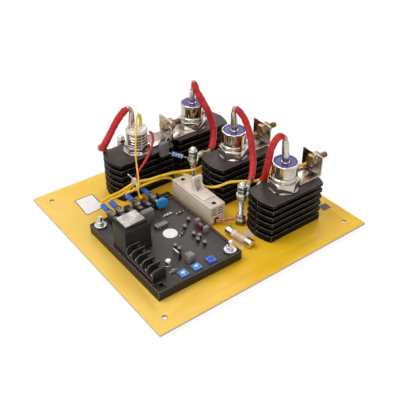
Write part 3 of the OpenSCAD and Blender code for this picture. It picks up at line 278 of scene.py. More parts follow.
def plated_finish(name, dark, middle, light, low, high, grain=(1, 1, 1), size=8.0, relief=0.06, **more):
    """Bare or plated metal with a drawn grain, fingermarks and small dents; the ringed nickel's stretched grain gives
    dark upright streaks that are painted reflections.
    """
    skin = Finish(name, middle, (low + high) / 2, Metallic=1.0, **more)
    streak = skin.mottle(skin.where(grain), size, 4, 0.6)
    marks = skin.mottle(skin.where(), 11, 5, 0.6, 0.4)
    both = skin.blend((streak, 0.6), (marks, 0.4))
    skin.colour(skin.tones(both, (0.30, dark), (0.50, middle), (0.70, light)))
    skin.roughen(both, low, high)
    skin.raised(streak, relief, 0.05)
    return skin.material


def moulded_finish(name, dark, middle, light, low, high, size=5.0, relief=0.12, pore=0.5, **more):
    """Moulded plastic or glaze: cloudy colour, a fine skin and small scuffs."""
    skin = Finish(name, middle, (low + high) / 2, **more)
    cloud = skin.mottle(skin.where(), size, 4, 0.6)
    scuff = skin.mottle(skin.where((1, 7, 2), (0, 0, 24)), size * 0.8, 5, 0.65)
    both = skin.blend((cloud, 0.6), (scuff, 0.4))
    skin.colour(skin.tones(both, (0.32, dark), (0.52, middle), (0.70, light)))
    skin.roughen(scuff, low, high)
    skin.raised(skin.mottle(skin.where(), pore, 2), relief, 0.03)
    return skin.material


def resin_finish():
    skin = Finish("poured_resin", (70, 62, 61), 0.42, Specular_IOR_Level=0.3)
    flow = skin.mottle(skin.where(), 16, 3, 0.5, 0.6)
    dust = skin.mottle(skin.where(), 1.3, 4, 0.7)
    both = skin.blend((flow, 0.75), (dust, 0.25))
    skin.colour(skin.tones(both, (0.32, (60, 53, 52)), (0.52, (70, 62, 61)), (0.70, (82, 73, 71))))
    skin.roughen(flow, 0.34, 0.50)
    skin.raised(flow, 0.25, 0.5)
    skin.raised(dust, 0.08, 0.04)
    return skin.material


def woven_sleeve_finish():
    """Varnished glass-fibre braid: two sets of fine yarns that cross, following the lead's length."""
    skin = Finish("red_woven_sleeve", (188, 28, 34), 0.42, Specular_IOR_Level=0.32)
    right, left = [skin.stripes(skin.where((0.0267, 1, 1), (0, 0, lay), True), 0.7, "X") for lay in (38, -38)]
    yarn = skin.both(right, left)
    crease = skin.mottle(skin.where(), 5, 4, 0.6, 0.5)
    fade = skin.mottle(skin.where(), 17, 3)
    shade = skin.blend((fade, 0.5), (crease, 0.38), (yarn, 0.12))
    skin.colour(skin.tones(shade, (0.28, (150, 20, 26)), (0.46, (196, 34, 40)), (0.66, (220, 64, 66))))
    skin.roughen(crease, 0.34, 0.54)
    skin.raised(yarn, 0.25, 0.10)
    skin.raised(crease, 0.6, 1.1)
    return skin.material


def zinc_passivate_finish():
    skin = Finish("yellow_passivate", (178, 158, 92), 0.32, Metallic=1.0)
    drift = skin.mottle(skin.where(), 4, 3, 0.5, 1.2)
    skin.colour(skin.tones(drift, (0.28, (84, 74, 58)), (0.46, (134, 121, 94)), (0.60, (118, 108, 106)),
                           (0.74, (160, 151, 122))))
    skin.roughen(drift, 0.26, 0.42)
    return skin.material


def paper_finish(name, dark, middle, light):
    skin = Finish(name, middle, 0.72, Specular_IOR_Level=0.3)
    fibre = skin.mottle(skin.where((1, 2.5, 1), (0, 0, 40)), 1.1, 5, 0.7)
    stain = skin.mottle(skin.where(), 13, 3)
    skin.colour(skin.tones(skin.blend((fibre, 0.4), (stain, 0.6)),
                           (0.32, dark), (0.50, middle), (0.66, light)))
    skin.raised(fibre, 0.15, 0.05)
    return skin.material


def banded_finish(name, ground, band, size, low, high):
    """A small part's lacquer with paler bands along its length, on the piece's own length map."""
    skin = Finish(name, ground, (low + high) / 2, Coat_Weight=0.3)
    rings = skin.stripes(skin.where((0, 1, 0), (0, 0, 0), True), size, "Y")
    skin.colour(skin.over(skin.spread(rings, 0.70, 0.80), ground, band))
    skin.roughen(skin.mottle(skin.where(), 2, 4), low, high)
    return skin.material


LAMINATE = laminate_finish()
SAWN_EDGE = sawn_finish()
ANODISED = anodised_finish("black_anodised_fins", (3, 3, 3), (6, 5, 5), (15, 13, 12), 0.12)
# Lighter finish for the heatsinks' top faces: a painted sheen, for the light the tops catch.
SHEEN_FIN_TOP = anodised_finish("painted_sheen_fin_tops", (48, 41, 40), (62, 53, 51), (80, 70, 67), 0.3)
FIN_EDGE_HIGHLIGHT = fin_edge_highlight_finish()
BRACKET_PLATE = plated_finish("bracket_plate", (96, 88, 81), (170, 160, 151), (230, 222, 213), 0.14, 0.30, size=9)
NICKEL = plated_finish("bright_nickel", (152, 142, 130), (196, 187, 176), (228, 222, 214), 0.05, 0.16, (1, 1, 6), 9,
                       0.03)
# The ringed body's dark upright streaks, placed at random, are painted reflections of dark surroundings.
RINGED = plated_finish("ringed_nickel", (62, 52, 44), (188, 178, 168), (232, 226, 220), 0.08, 0.22, (1, 1, 0.12), 5,
                       0.03)
TINNED_TUBE = plated_finish("tinned_tube", (160, 150, 136), (200, 191, 178), (232, 226, 216), 0.16, 0.34, (5, 5, 0.5),
                            4, 0.12)
BRASS = plated_finish("dulled_brass", (112, 90, 64), (156, 129, 96), (196, 168, 132), 0.26, 0.44, size=5)
TINNED_LUG = plated_finish("tinned_lug", (168, 160, 148), (206, 200, 190), (230, 226, 219), 0.20, 0.38, size=5)
ZINC = plated_finish("bright_zinc", (172, 171, 168), (206, 205, 202), (232, 231, 229), 0.24, 0.42, size=4)
# Dark tinned metal for the receptacles and tabs; its pale spots are painted glints.
DULL_SHELL_GLINTS = plated_finish("dull_tinned_shell_painted_glints", (66, 61, 56), (108, 101, 94), (222, 215, 207), 0.24, 0.42, size=2.4)
COPPER = plated_finish("bare_copper", (150, 92, 68), (202, 138, 108), (238, 190, 162), 0.26, 0.44, size=3)
BRAID = plated_finish("tinned_braid", (140, 118, 98), (192, 172, 150), (226, 212, 196), 0.28, 0.46, size=2)
PASSIVATE = zinc_passivate_finish()
CERAMIC = moulded_finish("glazed_ceramic", (232, 222, 206), (240, 233, 221), (246, 241, 232), 0.14, 0.26, 9, 0.03, 1.0,
                         Coat_Weight=0.4)
ENAMEL = moulded_finish("blue_violet_enamel", (40, 36, 100), (64, 60, 136), (98, 94, 172), 0.20, 0.34, 5, 0.05, 2.0,
                        Specular_IOR_Level=0.3)
BLACK_MOULDING = moulded_finish("black_moulding", (20, 17, 16), (31, 27, 25), (48, 42, 39), 0.36, 0.54, 6,
                                Specular_IOR_Level=0.3)
# Painted highlight: lighter rounded edges for the tray and the barrier strip, for the light their edges catch.
BLACK_EDGE_HIGHLIGHT = moulded_finish("painted_highlight_black_edges", (52, 46, 43), (88, 80, 75), (158, 148, 141), 0.32, 0.48, 3)
RESIN = resin_finish()
RED_SLEEVE = woven_sleeve_finish()
# Painted shade for the inside of the sleeves' open mouths.
SLEEVE_MOUTH_SHADE = moulded_finish("sleeve_mouth_shade", (40, 10, 12), (58, 16, 18), (84, 28, 28), 0.5, 0.7, 3)
BLUE_SLEEVE = moulded_finish("blue_sleeve", (28, 70, 160), (44, 96, 192), (92, 144, 222), 0.28, 0.44, 4)
TRIMMER_BLUE = moulded_finish("trimmer_blue", (44, 104, 172), (66, 132, 198), (112, 172, 224), 0.26, 0.40, 4)
TRIMMER_DEEP = moulded_finish("trimmer_deep_blue", (26, 70, 176), (42, 94, 204), (84, 134, 226), 0.26, 0.40, 4)
DEEP_BLUE = moulded_finish("deep_blue_rotor", (28, 58, 150), (44, 84, 184), (84, 122, 206), 0.24, 0.38, 3)
PALE_ROTOR = moulded_finish("pale_rotor", (206, 222, 236), (222, 234, 243), (238, 244, 248), 0.24, 0.40, 3)
DISC_BLUE = moulded_finish("dipped_blue_disc", (20, 112, 172), (34, 144, 208), (80, 176, 226), 0.20, 0.34, 4, 0.10,
                           1.2)
CREAM = moulded_finish("cream_moulding", (204, 185, 167), (219, 203, 186), (231, 219, 206), 0.36, 0.54, 12)
# Painted shade: the dark brown inside the fuse housing's openings and in the grip's eye.
CREAM_OPENING_SHADE = moulded_finish("cream_painted_shade", (44, 32, 25), (62, 47, 37), (86, 68, 54), 0.5, 0.7, 4)
# Painted shade: a darker cream for the panel and the eye's rim set in the grip's pocket, between the cheeks.
CREAM_POCKET_SHADE = moulded_finish("cream_pocket_shade", (184, 166, 148), (198, 181, 164), (212, 197, 182), 0.4, 0.6, 6)
CREAM_GRIP = moulded_finish("cream_grip", (218, 204, 191), (230, 218, 206), (240, 231, 222), 0.36, 0.54, 12)
LINK_CERAMIC = moulded_finish("link_ceramic", (206, 168, 132), (222, 188, 154), (236, 208, 180), 0.24, 0.40, 6)
LINK_BAND = moulded_finish("link_band", (226, 214, 196), (238, 229, 214), (246, 240, 230), 0.40, 0.55, 4)
YELLOW_WIRE = moulded_finish("yellow_insulation", (228, 172, 14), (250, 202, 40), (254, 222, 96), 0.24, 0.38, 6)
YELLOW_SLEEVE = moulded_finish("yellow_gate_sleeve", (206, 184, 30), (226, 206, 54), (242, 228, 110), 0.24, 0.36, 4,
                               0.12, 0.5, Subsurface_Weight=0.1, Subsurface_Scale=0.001)
RED_WIRE = moulded_finish("red_insulation", (170, 26, 30), (206, 42, 46), (230, 94, 94), 0.26, 0.40, 6)
NYLON = moulded_finish("white_nylon", (224, 221, 216), (236, 233, 229), (244, 242, 239), 0.30, 0.44, 4)
GREY_DIP = moulded_finish("grey_dipped_case", (90, 89, 88), (106, 105, 104), (126, 124, 122), 0.36, 0.54, 4, 0.2, 0.9)
GREY_CASE = moulded_finish("grey_case", (104, 98, 98), (126, 119, 118), (152, 144, 142), 0.34, 0.50, 5)
CHIP_BLACK = moulded_finish("chip_black", (30, 27, 27), (42, 38, 38), (60, 55, 54), 0.36, 0.52, 3,
                            Specular_IOR_Level=0.3)
# Painted sheen: a lighter grey for the top faces of the driver chip and the small transistors, for the light they
# catch.
CHIP_TOP_SHEEN = moulded_finish("painted_sheen_chip_top", (104, 98, 95), (130, 124, 120), (162, 155, 150), 0.36, 0.52, 2)
DARK_RED = moulded_finish("dark_red_case", (74, 20, 22), (96, 30, 32), (128, 54, 54), 0.24, 0.40, 3)
RESISTOR_BLUE = banded_finish("banded_resistor", (84, 132, 200), (186, 206, 228), 3.6, 0.28, 0.42)
PALE_BANDED = banded_finish("banded_pale_part", (214, 219, 228), (120, 126, 150), 4.0, 0.28, 0.42)
DARK_BANDED = banded_finish("banded_dark_part", (46, 41, 42), (170, 164, 158), 5.2, 0.24, 0.38)
TAN_BANDED = banded_finish("banded_tan_part", (150, 136, 116), (96, 84, 70), 2.6, 0.34, 0.5)
WHITE_LABEL = paper_finish("white_label", (234, 231, 227), (245, 243, 240), (251, 250, 248))
FADED_LABEL = paper_finish("faded_label", (120, 111, 107), (184, 174, 169), (234, 228, 224))
LABEL_BORDER = paper_finish("label_border", (52, 46, 34), (72, 64, 48), (96, 86, 66))
TAN_PAPER = paper_finish("tan_paper", (212, 172, 122), (230, 194, 148), (240, 210, 170))
GREY_TAPE = paper_finish("grey_tape", (96, 94, 92), (116, 114, 112), (138, 136, 133))


# Shapes
MERGED = 1e-4
SHARP = 32


def round_off(bm, geom, radius, segments=2, affect="EDGES", **more):
    """Round edges or corners; gives back the new faces."""
    return bmesh.ops.bevel(bm, geom=geom, offset=radius, offset_type="OFFSET", affect=affect, segments=segments,
                           profile=0.5, material=-1, **more)["faces"]


def pull_out(bm, way):
    """Pull a flat outline along way into a closed solid."""
    grown = bmesh.ops.extrude_face_region(bm, geom=bm.faces[:])["geom"]
    bmesh.ops.translate(bm, vec=way, verts=[g for g in grown if isinstance(g, bmesh.types.BMVert)])
    bmesh.ops.recalc_face_normals(bm, faces=bm.faces)


def cut_off(bm, at, way):
    """Saw off what lies past a plane, on the side that way points to."""
    bmesh.ops.bisect_plane(bm, geom=bm.verts[:] + bm.edges[:] + bm.faces[:], dist=1e-5, plane_co=at, plane_no=way,
                           clear_outer=True)


def close_up(bm):
    """Fill what is open and turn every face outwards."""
    bmesh.ops.holes_fill(bm, edges=[e for e in bm.edges if e.is_boundary], sides=0)
    bmesh.ops.recalc_face_normals(bm, faces=bm.faces)


def soft_block(size, centre, radius, segments=2):
    bm = bmesh.new()
    bmesh.ops.create_cube(bm, size=1)
    bmesh.ops.scale(bm, vec=size, verts=bm.verts)
    round_off(bm, bm.edges[:], radius, segments)
    return moved(bm, centre)


def turned(profile, steps, ring=False, climb=0.0):
    """A round shape about Z from (radius, height) points; ring joins the last point to the first, and a climb makes
    an open helix of it, to be cut and closed."""
    bm = bmesh.new()
    marks = [bm.verts.new((r, 0, z)) for r, z in profile]
    edges = [bm.edges.new(pair) for pair in zip(marks, marks[1:])]
    if ring:
        edges.append(bm.edges.new((marks[-1], marks[0])))
    bmesh.ops.spin(bm, geom=marks + edges, cent=(0, 0, 0), axis=(0, 0, 1), dvec=(0, 0, climb / steps),
                   angle=2 * math.pi, steps=steps, use_merge=not climb)
    bmesh.ops.remove_doubles(bm, verts=bm.verts, dist=MERGED)
    if not climb:
        bmesh.ops.recalc_face_normals(bm, faces=bm.faces)
    return bm


def hexagon(flats, low, high, chamfer):
    bm = bmesh.new()
    bmesh.ops.create_circle(bm, cap_ends=True, segments=6, radius=flats / 2 / math.cos(math.pi / 6))
    moved(bm, (0, 0, low), about("Z", 30))
    pull_out(bm, (0, 0, high - low))
    round_off(bm, [e for e in bm.edges if abs(e.verts[0].co.z - e.verts[1].co.z) < 1e-6], chamfer)
    return bm


def threaded(radius, pitch, length):
    """A sawn length of screw thread from z = 0, spun as one helix and cut square."""
    root = radius - 0.55 * pitch
    count = int(length / pitch) + 3
    flanks = ((root, 0.0), (root, 0.12), (radius, 0.45), (radius, 0.60))
    line = [(r, (k - 1.5) * pitch + up * pitch) for k in range(count) for r, up in flanks]
    bm = turned(line + [(root, (count - 1.5) * pitch)], 20, climb=pitch)
    cut_off(bm, (0, 0, 0), (0, 0, -1))
    cut_off(bm, (0, 0, length), (0, 0, 1))
    close_up(bm)
    return bm


def smooth_route(points, step):
    """Evenly spaced points on a smooth curve through the given ones."""
    splits = 16
    points = [Vector(p) for p in points]
    ends = [2 * points[0] - points[1]] + points + [2 * points[-1] - points[-2]]
    fine = []
    for a, b, c, d in zip(ends, ends[1:], ends[2:], ends[3:]):
        for n in range(splits):
            t = n / splits
            fine.append(0.5 * (2 * b + (c - a) * t + (2 * a - 5 * b + 4 * c - d) * t * t
                               + (3 * b - a - 3 * c + d) * t ** 3))
    fine.append(points[-1])
    reach = [0.0]
    for a, b in zip(fine, fine[1:]):
        reach.append(reach[-1] + (b - a).length)
    count = max(2, round(reach[-1] / step))
    even, k = [], 0
    for n in range(count + 1):
        want = reach[-1] * n / count
        while k < len(fine) - 2 and reach[k + 1] < want:
            k += 1
        even.append(fine[k].lerp(fine[k + 1], (want - reach[k]) / max(1e-9, reach[k + 1] - reach[k])))
    return even


def length_of(route):
    return sum((b - a).length for a, b in zip(route, route[1:]))


def carried_frames(route):
    """A pair of side directions at each point, carried along without twist."""
    frames, side, before = [], None, None
    last = len(route) - 1
    for k in range(last + 1):
        ahead = (route[min(k + 1, last)] - route[max(k - 1, 0)]).normalized()
        if side is None:
            side = ahead.cross(Vector((0, 0, 1)) if abs(ahead.z) < 0.9 else Vector((1, 0, 0))).normalized()
        else:
            side = before.rotation_difference(ahead) @ side
        side = (side - ahead * side.dot(ahead)).normalized()
        frames.append((side, ahead.cross(side)))
        before = ahead
    return frames


def swept(route, radius, sides, thick=None):
    """A round lead along its route: a flat grid rolled up, with a map of its length in metres.
    thick gives the share of the radius at a point from its share of the length and its angle."""
    frames = carried_frames(route)
    last = len(route) - 1
    bm = bmesh.new()
    length_map = bm.loops.layers.uv.new("length_map")
    bmesh.ops.create_grid(bm, x_segments=last, y_segments=sides, size=1)
    run = length_of(route) * MM
    for face in bm.faces:
        for loop in face.loops:
            flat = loop.vert.co
            loop[length_map].uv = ((flat.y + 1) / 2, (flat.x + 1) / 2 * run)
    for vert in bm.verts:
        share, turn = (vert.co.x + 1) / 2, (vert.co.y + 1) * math.pi
        k = round(share * last)
        side, up = frames[k]
        size = radius * (thick(share, turn) if thick else 1.0)
        vert.co = route[k] + size * (math.cos(turn) * side + math.sin(turn) * up)
    bmesh.ops.remove_doubles(bm, verts=bm.verts, dist=MERGED)
    close_up(bm)
    return bm


def strands_along(route, radius, count, lay):
    """Twisted strands round a core; lay is the length of one full twist."""
    sides = 6
    frames = carried_frames(route)
    step = (route[1] - route[0]).length
    shapes = [swept(route, radius * 0.42, sides)]
    for s in range(count):
        path = []
        for k, point in enumerate(route):
            turn = 2 * math.pi * (s / count + k * step / lay)
            side, up = frames[k]
            path.append(point + radius * 0.66 * (math.cos(turn) * side + math.sin(turn) * up))
        shapes.append(swept(path, radius * 0.36, sides))
    return shapes


def moved(bm, where=(0, 0, 0), turn=None):
    if turn is not None:
        bmesh.ops.rotate(bm, cent=(0, 0, 0), matrix=turn, verts=bm.verts)
    bmesh.ops.translate(bm, vec=where, verts=bm.verts)
    return bm


def about(axis, degrees):
    return Matrix.Rotation(math.radians(degrees), 3, axis)


TO_X = about("Y", 90)
TO_Y = about("X", -90)


def paint(bm, number, chosen=None):
    """Give a finish's number to every face, or to the chosen ones."""
    for face in bm.faces:
        if chosen is None or chosen(face):
            face.material_index = number
    return bm


def faces_up(face):
    return face.normal.z > 0.7


def softened(node, width, segments=2, edge_number=0):
    """A CAD solid with its sharp edges rounded; the rounded faces may have a finish of their own."""
    bm = bmesh.new()
    bm.from_mesh(frame["nodes"][node].data)
    bmesh.ops.scale(bm, vec=(1000, 1000, 1000), verts=bm.verts)
    bmesh.ops.remove_doubles(bm, verts=bm.verts, dist=0.002)
    paint(bm, 0)
    bmesh.ops.dissolve_limit(bm, angle_limit=math.radians(0.4), use_dissolve_boundaries=False, verts=bm.verts,
                             edges=bm.edges, delimit=set())
    edges = [e for e in bm.edges if len(e.link_faces) == 2 and e.calc_face_angle() > math.radians(SHARP)]
    for face in round_off(bm, edges, width, segments, clamp_overlap=False):
        face.material_index = edge_number
    return bm


def settle(name, shapes, finishes, node=None, smooth=38):
    """Join shapes, each already painted with its finish's number, into one piece that stands for its CAD solid."""
    whole = bmesh.new()
    for shape in shapes:
        scrap = bpy.data.meshes.new("scrap")
        shape.to_mesh(scrap)
        shape.free()
        whole.from_mesh(scrap)
        bpy.data.meshes.remove(scrap)
    bmesh.ops.scale(whole, vec=(MM, MM, MM), verts=whole.verts)
    mesh = bpy.data.meshes.new(name)
    whole.to_mesh(mesh)
    whole.free()
    for finish in finishes:
        mesh.materials.append(finish)
    mesh.polygons.foreach_set("use_smooth", [True] * len(mesh.polygons))
    mesh.set_sharp_from_angle(angle=math.radians(smooth))
    piece = bpy.data.objects.new(name, mesh)
    bpy.context.scene.collection.objects.link(piece)
    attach(piece, body_of[node] if node else "frame")
    if node:
        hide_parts(node)


def dress(name, node, width, finish, edges=None, segments=2, smooth=38):
    """A piece that is its CAD solid with rounded edges; edges is their own finish."""
    finishes = [finish, edges] if edges else [finish]
    settle(name, [softened(node, width, segments, len(finishes) - 1)], finishes, node, smooth=smooth)


bpy.context.scene.view_settings.view_transform = "Standard"
set_camera()
light_the_room()
lay_floor()


# Board with its corner holes, and the flat patches that lie on it
def lay_board():
    bm = paint(softened("base_board", 0.35), 1, lambda face: abs(face.normal.z) <= 0.7)
    settle("laminate_board", [bm], [LAMINATE, SAWN_EDGE], "base_board")


def flat_patch(name, corners, low, thick, radius, finish, border=0):
    """A thin plate with rounded corners; border is the width of a line along its edge."""
    bm = bmesh.new()
    bm.faces.new([bm.verts.new((x, y, low)) for x, y in corners])
    bmesh.ops.recalc_face_normals(bm, faces=bm.faces)
    round_off(bm, bm.verts[:], radius, 5, "VERTICES")
    pull_out(bm, (0, 0, thick))
    if border:
        top = [f for f in bm.faces if faces_up(f)]
        for f in bmesh.ops.inset_region(bm, faces=top, thickness=border, use_even_offset=True)["faces"]:
            f.material_index = 1
    settle(name, [bm], [finish, LABEL_BORDER])


lay_board()
flat_patch("blank_board_plate", [(-105, 103.3), (-107.2, 68.2), (-81.9, 70.6), (-80.3, 103)], 0, 0.25, 1.2,
           WHITE_LABEL, 1.1)
flat_patch("tan_paper_patch", [(0.1, -66.8), (-0.9, -87.6), (28.2, -76.9), (29.8, -62.9)], 0, 0.08, 0.6, TAN_PAPER)
flat_patch("grey_tape_patch", [(122.2, -81.8), (121.6, -92.6), (133.2, -92.6), (134.2, -82.3)], 0, 0.12, 0.5,
           GREY_TAPE)

# Heatsinks, brackets and the bolts that hold them
SINK_TOP = 50.5


def fins(node):
    # Rounded edges take finish number 1, a painted highlight; top faces take number 2, a painted sheen.
    bm = softened(node, 0.35, edge_number=1)
    return paint(bm, 2, lambda face: face.normal.z > 0.95 and face.calc_center_median().z > SINK_TOP - 0.1)


for letter in "abcd":
    settle("fins_" + letter, [fins("heatsink_" + letter)], [ANODISED, FIN_EDGE_HIGHLIGHT, SHEEN_FIN_TOP], "heatsink_" + letter)
    # The brackets' rounded edges take the brighter nickel, a painted highlight along their rims.
    dress("plate_bracket_" + letter, "bracket_" + letter, 0.3, BRACKET_PLATE, NICKEL)
dress("board_bolt_heads", "board_bolts", 0.35, ZINC)

# Power devices: levels of their seat, the cans' rim and the thyristor's waist, neck and top; each diode has its place
# and its tube's turn
SEAT = 52.0
CAN_RIM = SEAT + 32.5
WAIST, NECK, CERAMIC_TOP = SEAT + 7.5, SEAT + 25, SEAT + 29
THYRISTOR, CATHODE_PIPE, GATE_PIPE = (-21.5, 87.0), (-26.0, 90.1), (-15.5, 86.5)
DIODES = {"b": ((65.5, 93.0), 20), "c": ((63.5, 8.0), 50), "d": ((64.2, -78.0), -20)}
PIPE_R = 3.9
PIPE_TIP = {"a": (-25.0, 89.4, 102.0), "b": (65.5, 93.0, 101.0), "c": (62.3, 8.9, 108.0), "d": (62.5, -76.7, 111.0)}


def lead_pipe(foot, collar, at, tip, flat, turn):
    """A leaning lead tube from its foot to its tip, with a bright collar, flattened a little towards its mouth."""
    r, top = PIPE_R, tip[2]
    bm = turned([(0, foot), (r, foot), (r, collar - 0.4), (r + 0.9, collar - 0.3), (r + 1.0, collar + 0.3),
                 (r + 0.7, collar + 0.8), (r, collar + 0.9), (r - 0.12, collar + 3), (r + 0.1, collar + 8),
                 (r, top - 7), (r - 0.25, top - 3), (r - 0.5, top - 0.3), (r - 0.8, top), (r - 1.3, top),
                 (r - 1.4, top - 1.2), (0, top - 1.2)], 48)
    for vert in bm.verts:
        vert.co.y *= 1 - flat * max(0.0, min(1.0, (vert.co.z - foot - 14) / 6))
    moved(bm, (*at, 0), about("Z", turn))
    for vert in bm.verts:
        lean = max(0.0, (vert.co.z - collar) / (top - collar))
        vert.co += lean * Vector((tip[0] - at[0], tip[1] - at[1], 0))
    return bm


def fit_diodes():
    seals, pipes = [], []
    for letter, (at, turn) in DIODES.items():
        seal = turned([(r, CAN_RIM - drop) for r, drop in (
            (3.98, 2.5), (11.4, 2.5), (13.1, 2.4), (13.1, 0.55), (12.4, 0.95), (10.5, 1.15), (7, 1.15), (5, 0.95),
            (4.2, 0.4), (3.98, 0.3))], 64, True)
        seals.append(moved(seal, (*at, 0)))
        pipes.append(lead_pipe(SEAT + 29.9, CAN_RIM - 0.6, at, PIPE_TIP[letter], 0.10, turn))
        dress("bright_can_" + letter, "diode_case_" + letter, 0.3, NICKEL, smooth=32)
    settle("enamel_seals", seals, [ENAMEL], "diode_seals")
    settle("lead_pipes", pipes, [TINNED_TUBE], "diode_tubes")


def fit_thyristor():
    rings = [(0, WAIST - 0.3), (13.4, WAIST - 0.3), (13.4, WAIST + 1.0), (12.5, WAIST + 1.4)]
    for k in range(4):
        low = WAIST + 2.2 + k * 3.6
        rings += [(12.2, low), (12.2, low + 0.5), (12.75, low + 0.9), (12.75, low + 2.7), (12.2, low + 3.1)]
    rings += [(12.5, NECK - 0.6), (12.5, NECK), (0, NECK)]
    nut = moved(hexagon(27, SEAT, WAIST, 1.0), (*THYRISTOR, 0), about("Z", 19))
    body = moved(paint(turned(rings, 72), 1), (*THYRISTOR, 0))
    settle("ringed_thyristor_body", [nut, body], [NICKEL, RINGED], "thyristor_case", smooth=32)
    top = CERAMIC_TOP
    cap = turned([(0, NECK - 0.3), (13.2, NECK - 0.3), (13.2, NECK + 0.5), (12.8, NECK + 0.9), (12.8, top - 1.3),
                  (12.4, top - 0.5), (11.6, top), (9, top + 0.05), (0, top + 0.05)], 72)
    settle("ceramic_cap", [moved(cap, (*THYRISTOR, 0))], [CERAMIC], "thyristor_ceramic")
    cathode = lead_pipe(top - 4, top + 0.2, CATHODE_PIPE, PIPE_TIP["a"], 0.12, 60)
    gate = turned([(0, top - 4), (1.4, top - 4), (1.4, top + 5.6), (1.1, top + 6), (0, top + 6)], 24)
    settle("thyristor_pipes", [cathode, moved(gate, (*GATE_PIPE, 0))], [TINNED_TUBE], "thyristor_tubes")


fit_diodes()
fit_thyristor()

# Terminal bolts with real threads, and their nuts: each has its place and the thickness of the plates it holds
TERMINALS = ((22.5, 88.7, 3.0), (111.5, 10.5, 1.5), (111.5, -75.5, 1.5))
TERMINAL_LEVEL = 67.5


def terminal_bolt(x, y, stack):
    head = hexagon(13, -6.2, -0.8, 0.7)
    shank = turned([(0, -0.9), (3.95, -0.9), (3.95, stack + 6.3), (0, stack + 6.3)], 32)
    screw = moved(threaded(3.4, 1.25, 11.1), (0, 0, stack + 6.2))
    tip = turned([(0, stack + 17.2), (3.1, stack + 17.2), (2.6, stack + 18), (0, stack + 18)], 32)
    return [moved(shape, (x, y, TERMINAL_LEVEL), TO_X @ about("Z", 30)) for shape in (head, shank, screw, tip)]


bolts = [shape for place in TERMINALS for shape in terminal_bolt(*place)]
settle("brass_terminal_bolts", bolts, [BRASS], "terminal_bolts")
dress("brass_terminal_nuts", "terminal_nuts", 0.5, BRASS)

# Posts, and the level of the lowest lug on them
POSTS = ((27.5, -51.0), (28.0, 41.5), (-26.0, 118.0))
LUG_LEVEL, LUG_THICK = 39, 1.6


def raise_posts():
    studs = []
    for x, y in POSTS:
        studs.append(moved(hexagon(10, -7, -3, 0.5), (x, y, 0)))
        studs.append(moved(threaded(3.0, 1.0, 55.6), (x, y, -3)))
    settle("threaded_post_studs", studs, [ZINC], "post_studs")
    dress("passivated_spacers", "post_spacers", 0.5, PASSIVATE)
    dress("zinc_nuts", "hex_nuts", 0.5, ZINC)
    dress("zinc_washers", "plain_washers", 0.2, ZINC)
    dress("domed_nuts", "post_caps", 0.3, ZINC)


raise_posts()

# Red leads: the route of the woven sleeve, that of the bare twisted end, the lug as (post, level, turn), the sleeve's
# radius, how far the braid peeks out of it, and its pinches as (distance along, depth, width)
LEADS = {
    "a": ([(-28.9, 91.2, 105.8), (-32.5, 92.3, 103.7), (-36.2, 93.3, 100.1), (-39.8, 94.1, 95.8), (-44.3, 95.2, 89.4),
           (-49.5, 97.2, 79.6), (-54.2, 99.4, 70.2), (-58.2, 101.8, 62), (-59.6, 105.4, 57.4), (-58.3, 110.2, 54.6),
           (-55, 113.4, 51.4)],
          [(-50, 114.2, 46.4), (-47.2, 113.2, 42)], (2, 0, 195), 4.25, 1.7, ((30, 0.05, 9), (52, -0.04, 8))),
    "b": ([(66.2, 91.2, 112.2), (67.2, 88.7, 106.2), (68.5, 85.5, 99), (70.8, 79.8, 90.2), (73.2, 74.6, 81.8),
           (76, 72.2, 74), (78.2, 71, 66.6), (79, 67, 54), (76, 62.6, 45.2), (70.6, 57.8, 38.6), (65.4, 54.2, 35.8),
           (62.6, 52.9, 35.2)],
          [(59.6, 51.6, 34.8), (53.4, 49.8, 36.4), (48.6, 48.6, 38.6)], (1, 0, 20), 4.2, 0.3,
          ((13, 0.15, 3.5), (20, -0.06, 6), (62, -0.06, 9))),
    "c": ([(63.9, 7.3, 112.3), (65.6, 4.2, 110.2), (67.2, 0.8, 106.4), (68.9, -2.4, 101.9), (70.6, -6.2, 93.6),
           (70.9, -10.4, 85.6), (70.2, -14, 78.8), (68.2, -19.6, 67.8), (65, -25.4, 58), (59.4, -31.6, 49.8),
           (54.5, -35.6, 45.4), (50.6, -38, 43.2)],
          [(48.6, -39.2, 42.4)], (0, 1, 29), 3.9, 1.4, ((12, 0.06, 4), (26, 0.05, 4), (48, -0.05, 10))),
    "d": ([(60.4, -75.6, 114.6), (56.3, -74, 116), (52, -72.5, 111.9), (49.4, -70.2, 102.4), (49.8, -67.6, 91),
           (51.2, -64.6, 78.8), (53.6, -60, 66.6), (56.2, -55.4, 56), (57, -51.4, 49)],
          [(54.4, -49.4, 44.4), (50.8, -50.2, 40.8)], (0, 0, 0), 3.85, 2.2, ((24, 0.05, 6), (44, -0.04, 8))),
}


def lug_mouth(post, level, degrees, out):
    turn = math.radians(degrees)
    x, y = POSTS[post]
    return (x + out * math.cos(turn), y + out * math.sin(turn), LUG_LEVEL + (level + 0.5) * LUG_THICK)


def wrinkled(run, pinches):
    """The share of a sleeve's radius: slight waves, rolled mouths and pinches."""
    def thick(share, turn):
        at = share * run
        wave = sum(depth * math.sin(rate * at + lobes * turn)
                   for depth, rate, lobes in ((0.020, 0.62, 2), (0.016, 0.97, -3), (0.012, 1.9, 1)))
        pinch = sum(depth * math.exp(-((at - place) / width) ** 2) for place, depth, width in pinches)
        mouth = 0.20 * math.exp(-(at / 3.2) ** 2) + 0.12 * math.exp(-((run - at) / 2.5) ** 2)
        return 1.0 + wave - pinch - mouth
    return thick


